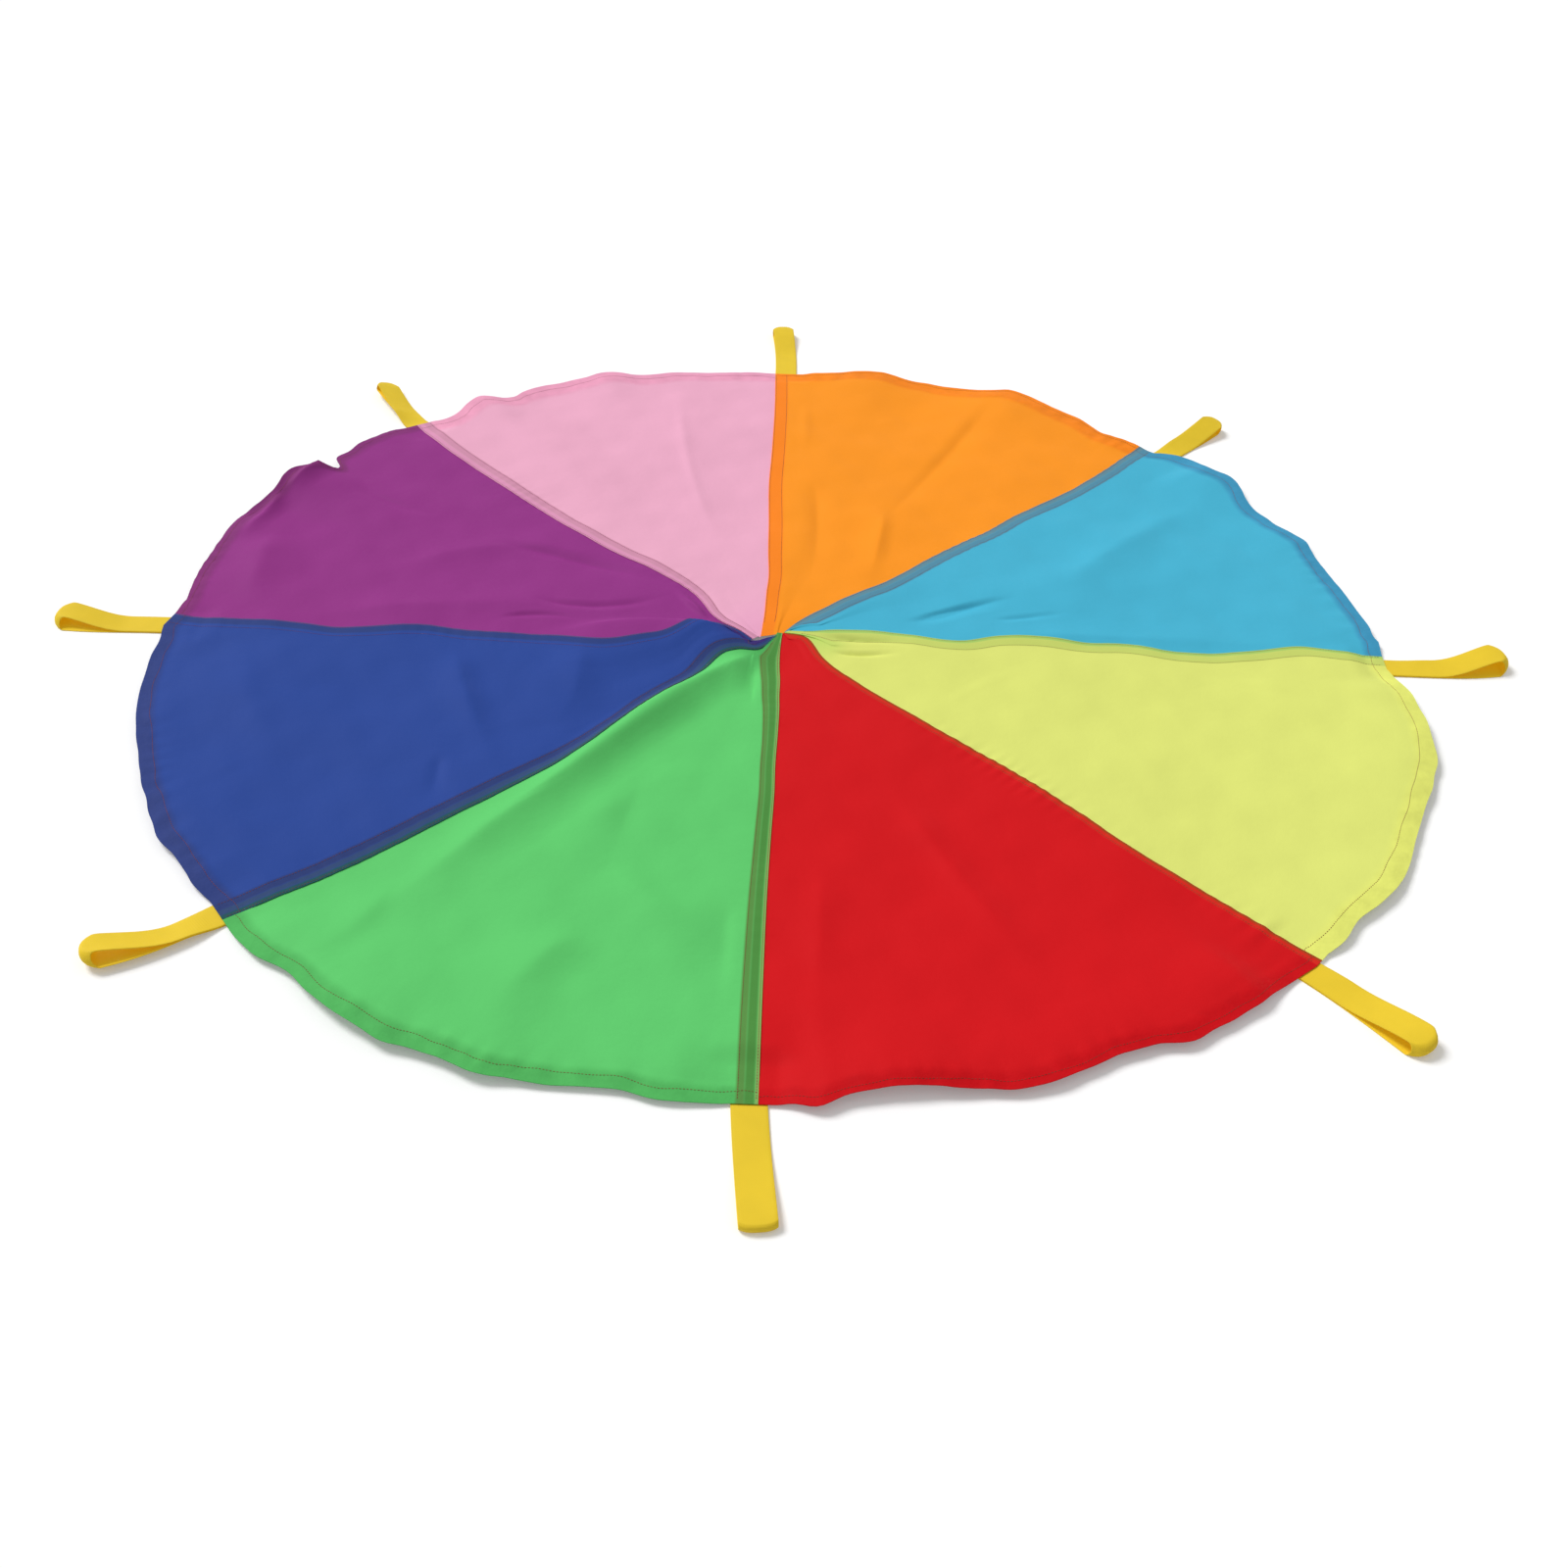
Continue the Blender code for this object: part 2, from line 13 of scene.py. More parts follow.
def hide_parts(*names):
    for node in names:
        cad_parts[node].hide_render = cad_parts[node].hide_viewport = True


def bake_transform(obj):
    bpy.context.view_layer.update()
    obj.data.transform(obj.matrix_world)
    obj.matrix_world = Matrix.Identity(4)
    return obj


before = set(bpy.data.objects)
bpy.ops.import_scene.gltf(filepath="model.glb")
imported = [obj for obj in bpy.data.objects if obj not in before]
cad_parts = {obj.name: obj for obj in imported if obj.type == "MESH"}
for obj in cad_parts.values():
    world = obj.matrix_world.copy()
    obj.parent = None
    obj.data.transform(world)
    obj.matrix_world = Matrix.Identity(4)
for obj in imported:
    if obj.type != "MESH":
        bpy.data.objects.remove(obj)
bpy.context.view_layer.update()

# Camera: a normal lens in front of the canopy, looking down on it and turned slightly, as in the
# photograph. Places that were picked in the photograph are laid on the cloth through it.
RADIUS = 0.750
CAMERA_PLACE_SHARES = (-0.00228, -2.28593, 1.49929)
CAMERA_DOWN_DEGREES = 38.384
CAMERA_TURN_DEGREES = -0.4834
CAMERA_ROLL_DEGREES = 2.358
LENS_MM = 38.215
SENSOR_MM = 36.0
PHOTO_SIZE = 1600
CREASE_LEVEL = 0.0045

camera = bpy.data.objects.new("camera", bpy.data.cameras.new("camera"))
camera.data.lens = LENS_MM
camera.data.sensor_width = SENSOR_MM
camera.data.clip_end = 50.0
turned = Matrix.Rotation(math.radians(CAMERA_TURN_DEGREES), 4, "Z")
tilted = Matrix.Rotation(math.radians(90 - CAMERA_DOWN_DEGREES), 4, "X")
rolled = Matrix.Rotation(math.radians(CAMERA_ROLL_DEGREES), 4, "Z")
camera_place = [RADIUS * share for share in CAMERA_PLACE_SHARES]
camera_turn = turned @ tilted @ rolled
camera.matrix_world = Matrix.Translation(camera_place) @ camera_turn
bpy.context.scene.collection.objects.link(camera)
bpy.context.scene.camera = camera


def on_cloth(pixels):
    """Plan of places in the photograph: where rays from the lens meet the level of the cloth."""
    x, y = np.array(pixels, float).T
    far = np.full(len(x), -PHOTO_SIZE * LENS_MM / SENSOR_MM)
    rays = np.stack([x - PHOTO_SIZE / 2, PHOTO_SIZE / 2 - y, far], -1) @ np.array(camera_turn.to_3x3()).T
    reach = (CREASE_LEVEL - camera_place[2]) / rays[:, 2:]
    return camera_place[:2] + rays[:, :2] * reach


# Canopy: eight wedge-shaped gores of thin, smooth polyester taffeta. The rim of each is turned
# under once as a hem. At every seam one gore folds its edge under and lies over the flat allowance
# of the next, so bands of doubled cloth, darker than the rest, follow the rim and one side of a seam.
CLOTH = 0.0003
PLY = 0.0005
FLOOR_LEVEL = 0.00105
BASE_LIFT = 0.0050
HEM = 0.022
TIP = 0.0003
SEAM_GAP = 0.00015
TAIL_LENGTH = 0.030
TAIL_STACK = 0.0023
WEBBING_WIDTH = 0.033

# Gores counter-clockwise from seam 0: name, cloth, doubled cloth at the hem, and the distances from
# the rim between which that colour fades out and at which the hem's stitches run, and the darker
# colour at the tip, which is partly painted shade where the cloth dips near the centre and partly
# the cloth of other gores lying under it
GORES = (
    ("cyan", (75, 180, 211), (67, 151, 190), 0.016, 0.028, 0.0150, (75, 180, 211)),
    ("orange", (254, 153, 41), (249, 138, 37), 0.026, 0.038, 0.0070, (254, 150, 38)),
    ("pink", (238, 174, 201), (237, 162, 192), 0.025, 0.041, 0.0140, (238, 170, 202)),
    ("purple", (148, 56, 135), (136, 56, 121), 0.012, 0.024, 0.0080, (128, 48, 118)),
    ("blue", (48, 75, 152), (54, 69, 130), 0.013, 0.025, 0.0160, (60, 46, 112)),
    ("green", (99, 204, 112), (86, 183, 97), 0.013, 0.025, 0.0130, (74, 166, 86)),
    ("red", (211, 29, 34), (202, 25, 31), 0.012, 0.024, 0.0080, (211, 29, 34)),
    ("lime", (223, 230, 121), (229, 234, 117), 0.014, 0.026, 0.0165, (180, 216, 106)),
)
GORE_ANGLE = 2 * math.pi / len(GORES)

# Seams counter-clockwise from +X: name of the hand loop there, half of the canopy that carries it,
# the side whose gore folds its edge over (-1 clockwise side, 1 counter-clockwise side), and that
# lap's width in metres at the middle, then as a multiple near the centre and near the rim
SEAMS = (
    ("right", "right_half", -1, 0.0215, 1.3, 1.0),
    ("back_right", "right_half", -1, 0.0195, 1.0, 1.0),
    ("back", "right_half", -1, 0.0200, 0.8, 1.0),
    ("back_left", "left_half", -1, 0.0195, 0.45, 1.1),
    ("left", "left_half", 1, 0.0220, 0.3, 1.0),
    ("front_left", "left_half", -1, 0.0265, 0.75, 0.95),
    ("front", "right_half", -1, 0.0172, 1.5, 1.2),
    ("front_right", "right_half", -1, 0.0090, 1.0, 1.0),
)
TIP_REACH_SHARE = 0.35
TIP_TURN_DEGREES = (-50, 60, 22, 0, 0, 59, 0, 0)

# Colours across each lap: from and to in shares of its width, counted from the folded edge. Most are
# doubled cloth with the allowance under it showing through; a few are painted highlight or painted
# shadow along the fold, as marked
LAP_STRIPES = (
    ((0.00, 0.30, (172, 206, 108)), (0.30, 0.95, (201, 214, 110))),
    ((0.00, 0.45, (100, 142, 158)), (0.45, 1.00, (87, 142, 167))),
    ((0.00, 0.98, (253, 137, 39)),),
    # pale first stripe: painted highlight where the folded edge catches the light
    ((0.00, 0.42, (222, 151, 187)), (0.42, 1.00, (210, 146, 174))),
    ((0.00, 0.12, (98, 78, 138)), (0.12, 0.62, (50, 68, 128))),
    # dark first stripe: painted shadow along the folded edge
    ((0.00, 0.26, (40, 86, 92)), (0.26, 0.55, (55, 77, 118)), (0.55, 0.98, (49, 64, 117))),
    ((0.00, 0.17, (132, 180, 98)), (0.17, 0.60, (80, 143, 68)), (0.60, 0.97, (93, 146, 74))),
    # lighter red band beside the brown stitched edge: painted highlight where the fold catches the light
    ((0.00, 0.38, (176, 70, 34)), (0.38, 1.05, (213, 47, 37))),
)

# Each seam's drift to its counter-clockwise side: how far out, then the drift, both in shares of
# the radius, wherever the seam bends
SEAM_WANDER_SHARES = (
    ((0, 0), (0.07, 0.004), (0.14, 0.011), (0.21, 0.002), (0.29, -0.011), (0.36, 0.004), (0.43, 0.004),
     (0.50, -0.007), (0.57, -0.005), (0.64, -0.018), (0.71, -0.020), (0.79, -0.008), (0.86, 0.004),
     (0.93, -0.004), (1, -0.008)),
    ((0, 0), (0.07, 0.002), (0.14, 0.001), (0.21, -0.008), (0.29, -0.011), (0.36, -0.008), (0.43, -0.009),
     (0.50, -0.014), (0.57, -0.010), (0.64, -0.011), (0.71, -0.015), (0.79, -0.013), (0.86, -0.008),
     (0.93, 0.001), (1, 0.008)),
    ((0, 0), (0.07, 0.011), (0.14, 0.020), (0.21, 0.024), (0.36, 0.027), (0.50, 0.030), (0.60, 0.028),
     (0.80, 0.026), (1, 0.028)),
    ((0, 0), (0.07, 0.018), (0.14, 0.032), (0.21, 0.031), (0.29, 0.037), (0.36, 0.047), (0.43, 0.051),
     (0.50, 0.054), (0.57, 0.051), (0.65, 0.051), (0.79, 0.047), (0.86, 0.045), (0.93, 0.037), (1, 0.025)),
    ((0, 0), (0.07, 0.010), (0.14, 0.021), (0.21, 0.036), (0.285, 0.051), (0.36, 0.040), (0.50, 0.032),
     (0.57, 0.023), (0.64, 0.032), (0.71, 0.039), (0.79, 0.031), (0.86, 0.028), (0.93, 0.024), (1, 0.010)),
    ((0, 0), (0.07, 0.004), (0.14, 0.009), (0.21, 0.016), (0.29, 0.025), (0.36, 0.037), (0.43, 0.047),
     (0.50, 0.048), (0.57, 0.045), (0.71, 0.038), (0.85, 0.031), (0.93, 0.022), (1, 0.012)),
    ((0, 0), (0.07, 0.000), (0.14, 0.000), (0.21, 0.003), (0.29, 0.002), (0.36, 0.000), (0.43, 0.000),
     (0.50, -0.002), (0.64, -0.005), (0.80, -0.006), (1, -0.006)),
    ((0, 0), (0.07, -0.007), (0.14, -0.009), (0.21, -0.015), (0.29, -0.014), (0.36, -0.012), (0.43, -0.008),
     (0.50, -0.007), (0.57, -0.008), (0.64, -0.011), (0.71, -0.017), (0.79, -0.015), (0.93, -0.012),
     (1, -0.007)),
)

# Each seam near the centre, in metres from it, at steps of a twentieth of the way to the rim
SEAM_STARTS = (
    ((0.010, -0.004), (0.042, -0.002), (0.077, 0.004), (0.112, 0.006), (0.150, 0.003)),
    ((0.005, -0.008), (0.026, 0.022), (0.051, 0.049), (0.078, 0.074), (0.112, 0.094)),
    ((-0.023, -0.019), (-0.020, 0.029), (-0.019, 0.068), (-0.018, 0.106), (-0.017, 0.144)),
    ((-0.032, -0.026), (-0.056, -0.004), (-0.077, 0.016), (-0.097, 0.048), (-0.114, 0.089)),
    ((-0.033, -0.027), (-0.056, -0.006), (-0.079, 0.007), (-0.112, 0.005), (-0.150, -0.016)),
    ((-0.002, -0.014), (-0.024, -0.045), (-0.050, -0.051), (-0.078, -0.070), (-0.103, -0.106)),
    ((0.003, -0.009), (0.001, -0.044), (0.001, -0.081), (0.003, -0.118), (0.006, -0.156)),
    ((0.004, -0.009), (0.033, -0.017), (0.053, -0.059), (0.077, -0.093), (0.101, -0.121)),
)
START_SHARE = 0.20
SEAM_REACH_SHARES = (0.003, 0.000, 0.008, 0.006, -0.014, 0.005, -0.008, 0.009)
HANDLE_SHIFT_SHARES = (-0.65, -1.15, -0.50, -0.12, 0.70, -0.30, -0.25, -0.60)

# Rim: its corners and hollows, as a place in degrees and how far it lies past the nominal circle
# there in shares of the radius
RIM_SHARES = (
    (0, -0.015), (2, -0.030), (4, -0.029), (5.5, -0.026), (7.5, -0.027), (9.5, -0.0245),
    (11.5, -0.024), (13, -0.020), (15, -0.0175), (17, -0.0105), (18.8, -0.0035), (20.5, 0.0055),
    (22.5, 0.0005), (24.5, -0.007), (26, -0.0045), (28, -0.005), (30, 0.007), (32, 0.0265),
    (34, 0.041), (37.2, 0.034), (39.5, 0.045), (41.5, 0.0445), (43, 0.0275),
    (45, -0.009), (47, -0.013), (48.7, -0.0175), (50.5, -0.020), (52.5, -0.007), (54.5, 0.004),
    (58, 0.012), (60, 0.022), (62, 0.028), (63.7, 0.0315), (65.5, 0.017), (67.5, 0.008),
    (71, 0.0035), (73, 0.0055), (75, 0.003), (77, 0.007), (79, 0.0135), (80.5, 0.0115),
    (84.5, -0.007), (86.5, -0.014), (88, -0.0145),
    (90, -0.0155), (93.5, -0.0223), (95.5, -0.021), (97.5, -0.0213), (101, -0.017), (103, -0.012),
    (106.5, -0.0165), (109, -0.0095), (110.5, 0.005), (112.5, 0.011), (114.5, 0.0065),
    (116.5, 0.0095), (118, 0.010), (120, 0.0135), (122, 0.0055), (124, -0.014), (125.5, -0.012),
    (127.5, 0.0095), (129.5, 0.0025), (131.2, -0.012), (133, -0.0182),
    (135, -0.0025), (137, 0.0105), (138.8, 0.0195), (140.5, 0.018), (142.5, 0.0185), (144.5, 0.017),
    (146, 0.011), (148, 0.005), (150, -0.033), (152, 0.0035), (154, 0.0135), (155.5, 0.0135),
    (157.5, 0.004), (159.5, 0.0105), (163, 0.015), (165, 0.0135), (169, 0.0045), (175, -0.0065),
    (178, -0.014),
    (180, -0.017), (183.5, -0.021), (185.5, -0.0235), (187.5, -0.0185), (191, -0.015),
    (193, -0.0115), (199, -0.0055), (204, -0.0015), (206.2, 0.0025), (210, 0.0072), (212, 0.012),
    (215.5, 0.0155), (217.5, 0.0105), (221, 0.0155), (223, 0.013),
    (225, 0.0105), (230.5, 0.017), (234.5, 0.012), (236.5, 0.0215), (240, 0.031), (242, 0.034),
    (243.7, 0.037), (245.5, 0.031), (247.5, 0.028), (251, 0.033), (253, 0.024), (255, 0.019),
    (258.5, 0.0075), (260.5, 0.0045), (262.5, 0.0105), (266, 0.007),
    (270, 0.0005), (272, 0.0035), (273.7, 0.0107), (275.6, -0.004), (277.5, -0.0077),
    (279.5, -0.0095), (281.2, -0.007), (283, -0.0005), (285, 0.0045), (287, 0.0153),
    (288.8, 0.0155), (290.6, 0.0153), (292.5, 0.009), (296, 0.0045), (298, 0.0075), (300, 0.021),
    (303.5, 0.0205), (307, 0.020), (309.5, 0.0155), (311.5, 0.015),
    (315, 0.0205), (317, 0.0265), (320.5, 0.023), (322.5, 0.031), (326.5, 0.040), (328.5, 0.039),
    (332, 0.0335), (334, 0.033), (337.5, 0.0355), (339.5, 0.040), (341, 0.0407), (343, 0.0445),
    (347, 0.036), (349, 0.034), (350.5, 0.027), (352.5, 0.0235), (356, 0.0075), (358, -0.003),
)

# Where the rim stands off the floor: place and half width in degrees, lift and run inward in shares
# of the radius, and the share of the lift that the edge itself loses again
RIM_LIFTS = (
    (21, 4, 0.002, 0.08, 0.3), (37.5, 5.5, 0.007, 0.08, 0.2), (52, 4, 0.002, 0.10, 0.3),
    (63.5, 5, 0.012, 0.13, 0.3), (80, 4.5, 0.008, 0.12, 0.3), (112.5, 3.5, 0.008, 0.12, 0.3),
    (127.5, 2.5, 0.008, 0.10, 0.2), (154, 4.5, 0.018, 0.16, 0), (156, 5, 0.005, 0.05, -2),
    (164, 3, 0.008, 0.12, 0.4), (198, 7, 0.005, 0.12, 0.2), (212, 6, 0.003, 0.10, 0.2),
    (240, 5.5, 0.009, 0.12, 0.3), (250.5, 3.5, 0.006, 0.10, 0.3), (279.5, 4.5, 0.010, 0.12, 0.3),
    (303, 7, 0.004, 0.12, 0.3), (344.5, 7, 0.005, 0.10, 0.3),
)
FRONT_LIFT = (305, 0.0050, 0.11, 0.35)
ROLL_REACH = 0.016
WAVE_CLEAR_DEGREES = 3.0
WAVE_FULL_DEGREES = 5.5

# Soft folds: place as an angle in degrees and a share of the radius, heading in degrees, then half
# length, half width and height in shares of the radius
FOLD_SHARES = (
    (196, 0.13, 190, 0.090, 0.050, 0.006), (222, 0.10, 222, 0.060, 0.030, 0.003),
    (180, 0.60, 185, 0.080, 0.060, 0.005), (20, 0.50, 15, 0.220, 0.060, 0.004),
)

# Creases: start, middle and end of each in the photograph's pixels, then in metres its height and
# the widths of its left and its right flank, and how many times wider they are at the far end
CREASES = (
    (790, 660, 690, 712, 540, 812, 0.014, 0.04, 0.028, 1.2),
    (735, 690, 560, 806, 335, 968, 0.0125, 0.042, 0.034, 1.3),
    (720, 770, 610, 835, 500, 905, 0.004, 0.11, 0.06, 1),
    (660, 784, 638, 842, 616, 900, -0.0032, 0.05, 0.036, 1),
    (618, 884, 668, 925, 752, 972, 0.0052, 0.04, 0.09, 1),
    (400, 896, 352, 954, 292, 986, 0.0034, 0.026, 0.08, 1),
    (592, 950, 532, 1000, 490, 1052, 0.0063, 0.042, 0.08, 1),
    (742, 915, 738, 975, 728, 1045, -0.0026, 0.014, 0.05, 1),
    (772, 672, 768, 698, 766, 726, -0.0052, 0.01, 0.024, 1),
    (775, 655, 690, 640, 540, 652, 0.011, 0.078, 0.016, 1.3),
    (462, 652, 478, 718, 514, 795, 0.0052, 0.03, 0.044, 1),
    (592, 655, 588, 700, 560, 745, 0.0052, 0.04, 0.066, 1),
    (250, 650, 262, 725, 310, 800, 0.007, 0.11, 0.09, 1),
    (448, 770, 446, 792, 440, 822, -0.0024, 0.014, 0.014, 1),
    (380, 588, 500, 556, 700, 606, 0.0032, 0.06, 0.04, 1),
    (300, 634, 470, 617, 645, 628, 0.0044, 0.07, 0.046, 1),
    (500, 553, 590, 573, 692, 600, -0.0042, 0.016, 0.018, 1),
    (540, 612, 620, 619, 692, 606, -0.0036, 0.012, 0.014, 1),
    (505, 632, 545, 628, 600, 636, -0.0028, 0.008, 0.01, 1),
    (362, 492, 402, 516, 458, 528, -0.0031, 0.01, 0.018, 1),
    (722, 634, 704, 617, 688, 602, 0.0052, 0.008, 0.009, 1),
    (345, 474, 322, 488, 288, 512, 0.009, 0.026, 0.012, 1),
    (292, 506, 270, 528, 244, 552, 0.006, 0.02, 0.014, 1),
    (280, 545, 262, 590, 246, 625, 0.0085, 0.07, 0.06, 1),
    (695, 398, 712, 510, 740, 565, 0.0016, 0.014, 0.014, 1),
    (470, 395, 560, 465, 650, 545, 0.005, 0.11, 0.06, 1),
    (690, 400, 712, 500, 742, 610, 0.003, 0.06, 0.09, 1),
    (830, 490, 834, 545, 826, 596, -0.0031, 0.028, 0.022, 1),
    (903, 518, 896, 558, 884, 600, 0.0042, 0.018, 0.04, 1),
    (1016, 408, 962, 470, 880, 552, -0.0032, 0.034, 0.018, 1),
    (822, 408, 822, 440, 820, 472, 0.0014, 0.014, 0.014, 1),
    (924, 636, 968, 624, 1042, 612, -0.0063, 0.009, 0.02, 1),
    (1010, 634, 1050, 631, 1095, 628, -0.0024, 0.008, 0.01, 1),
    (1075, 605, 1140, 562, 1250, 502, 0.007, 0.06, 0.06, 1),
    (960, 652, 1150, 652, 1390, 668, 0.003, 0.045, 0.03, 1),
    (838, 652, 880, 655, 928, 656, -0.0039, 0.008, 0.008, 1),
    (846, 667, 885, 669, 922, 667, -0.0039, 0.008, 0.009, 1),
    (905, 800, 985, 905, 1090, 1030, 0.0045, 0.044, 0.04, 1),
    (838, 868, 836, 970, 832, 1088, 0.0022, 0.03, 0.026, 1),
)
CREASE_RISE_SHARE = 0.3
CREASE_FADE_SHARE = 0.6
CREASE_ROUND = 0.12

# Short ripples that the sewing leaves, in metres: their height across each seam, and the pitch and
# reach of those at the seams and at the hem
RIPPLE_HEIGHTS = (0.0001, 0.0005, 0.0001, 0.0003, 0.0002, 0.0003, 0.0002, 0.0006)
RIPPLE_PITCH = 0.017
RIPPLE_REACH = 0.018
HEM_RIPPLE_HEIGHT = 0.0007
HEM_RIPPLE_PITCH = 0.027
HEM_RIPPLE_INSET = 0.016
HEM_RIPPLE_REACH = 0.014

# Grid of a gore: distances of its rows from the rim, and its outer columns in shares of a lap
RIM_ROWS = (0.041, 0.036, 0.032, 0.028, 0.025, 0.022, 0.0213, 0.020, 0.0187, 0.017, 0.014, 0.011,
            0.008, 0.0055, 0.0035, 0.002, 0.001, CLOTH / 2)
BAND_COLUMNS = (0, 0.06, 0.15, 0.28, 0.42, 0.56, 0.69, 0.80, 0.90, 1.0, 1.25)
MAIN_ROWS = 200
INNER_STEPS = 90
LAP_ROOM = 0.66
DOUBLE_LAP_ROOM = 0.36
LOWER_ROOM = 0.20
RAISE_FADE_SHARE = 0.40
HEM_ROW = RIM_ROWS.index(HEM)
LAP_COLUMN = BAND_COLUMNS.index(1.0)
LAP_FADE = 0.015


def smooth(value):
    """Rise from 0 to 1 with level ends, as 3x^2 - 2x^3."""
    value = np.clip(value, 0, 1)
    return value * value * (3 - 2 * value)


def curve_through(points, at):
    """Values at the places of a curve through points of a place and a value: between two of them a
    cubic, whose slope at each is that of the parabola through it and its neighbours."""
    places, values = np.array(points, float).T
    step = np.diff(places)
    rise = np.diff(values) / step
    slopes = (rise[:-1] * step[1:] + rise[1:] * step[:-1]) / (step[:-1] + step[1:])
    slopes = np.concatenate([rise[:1], slopes, rise[-1:]])
    at = np.clip(at, places[0], places[-1])
    before = np.clip(np.searchsorted(places, at, side="right") - 1, 0, len(step) - 1)
    part = (at - places[before]) / step[before]
    bend = slopes[before] * (1 - part) - slopes[before + 1] * part
    climb = (values[before + 1] - values[before]) * smooth(part)
    return values[before] + climb + bend * step[before] * part * (1 - part)


def outward(angle):
    """Unit vector in plan that points away from the centre at an angle."""
    return np.stack([np.cos(angle), np.sin(angle)], -1)


def sideways(angle):
    """Unit vector in plan, a quarter turn counter-clockwise from outward."""
    return np.stack([-np.sin(angle), np.cos(angle)], -1)


def angle_gap(angle, degrees):
    """Signed angle in degrees from a place on the rim to the given angles."""
    return (np.degrees(angle) - degrees + 180) % 360 - 180


def handle_drift(seam):
    """Distance of a hand loop's middle from its seam's nominal line, counter-clockwise."""
    return HANDLE_SHIFT_SHARES[seam] * WEBBING_WIDTH + SEAM_WANDER_SHARES[seam][-1][1] * RADIUS


def handle_centre(seam):
    """Plan point on the rim where the middle of a hand loop crosses it."""
    angle = seam * GORE_ANGLE
    return outward(angle) * RADIUS * (1 + SEAM_REACH_SHARES[seam]) + sideways(angle) * handle_drift(seam)


def off_the_handles(angle):
    """0 beside a hand loop, which holds the rim flat, and 1 farther on."""
    free = 1
    for seam in range(len(SEAMS)):
        away = np.abs(angle_gap(angle, math.degrees(seam * GORE_ANGLE + handle_drift(seam) / RADIUS)))
        free = free * smooth((away - WAVE_CLEAR_DEGREES) / (WAVE_FULL_DEGREES - WAVE_CLEAR_DEGREES))
    return free


def rim_reach(angle):
    """Share by which the rim lies outside the nominal circle: a closed curve through the table, plus
    small scallops of the sewn hem."""
    before = [(at - 360, share) for at, share in RIM_SHARES[-2:]]
    after = [(at + 360, share) for at, share in RIM_SHARES[:3]]
    closed = [*before, *RIM_SHARES, *after]
    scallops = 0.0010 * np.sin(94 * angle + 2 * np.sin(7 * angle)) * (0.5 + 0.5 * np.sin(5 * angle + 1))
    return curve_through(closed, np.degrees(angle) % 360) + scallops * off_the_handles(angle)


def wander(plan, length, turn):
    """Smooth value that wanders between about -1 and 1: the sum of five plane waves whose headings
    lie a golden angle apart and whose lengths spread around the given one."""
    total = 0
    for step in range(5):
        along = plan @ outward(turn + 2.4 * step) / (length * (0.75 + 0.13 * step))
        total = total + np.sin(2 * math.pi * along + 1.7 * step + turn)
    return total / 3


def crumple(plan):
    """Faint unevenness of cloth that was stored folded: wide and small soft hollows, plus narrow
    wrinkles that follow the zero lines of a slower wandering value."""
    wrinkle = np.exp(-(wander(plan, 0.33, 2.1) / 0.14) ** 2) * smooth(wander(plan, 0.24, 3.3))
    total = 0.0018 * wander(plan, 0.34, 0.7) + 0.0010 * wander(plan, 0.13, 1.2)
    return total + 0.0004 * wander(plan, 0.06, 0.4) + 0.0004 * wrinkle


def crease_height(plan):
    """Sum of creases. Each follows a line that bows as a parabola, has a crest that is only a little
    rounded, falls off over its own width to either side as a square, rises over the first part of
    its length and fades over the last."""
    total = 0
    for x0, y0, x1, y1, x2, y2, height, left, right, spread in CREASES:
        start, middle, end = on_cloth([(x0, y0), (x1, y1), (x2, y2)])
        length = math.hypot(*(end - start))
        ahead = (end - start) / length
        aside = np.array([-ahead[1], ahead[0]])
        bow = (middle - start) @ aside
        along = (plan - start) @ ahead / length
        across = (plan - start) @ aside - 4 * bow * along * (1 - along)
        width = np.where(across > 0, left, right) * (1 + (spread - 1) * np.clip(along, 0, 1))
        ends = smooth(along / CREASE_RISE_SHARE) * smooth((1 - along) / CREASE_FADE_SHARE)
        away = np.sqrt((across / width) ** 2 + CREASE_ROUND ** 2) - CREASE_ROUND
        total = total + height * ends * np.clip(1 - away, 0, 1) ** 2
    return total


def rim_lift(angle, inset, to_rim):
    """Height by which the rim stands off the floor: a wide arch along the front and right, and a
    wave for each entry of the table, all dying away inward and sinking a little at the edge."""
    at, height, run, roll = FRONT_LIFT
    edge = np.exp(-(to_rim / ROLL_REACH) ** 2)
    facing = (0.5 + 0.5 * np.cos(angle - math.radians(at))) ** 2
    total = height / RADIUS * facing * (1 - roll * edge) * np.exp(-(inset / run) ** 2)
    for at, half, height, run, roll in RIM_LIFTS:
        near = np.exp(-(angle_gap(angle, at) / half) ** 2 - (inset / run) ** 2)
        total = total + height * (1 - roll * edge) * near
    return total * off_the_handles(angle) * RADIUS


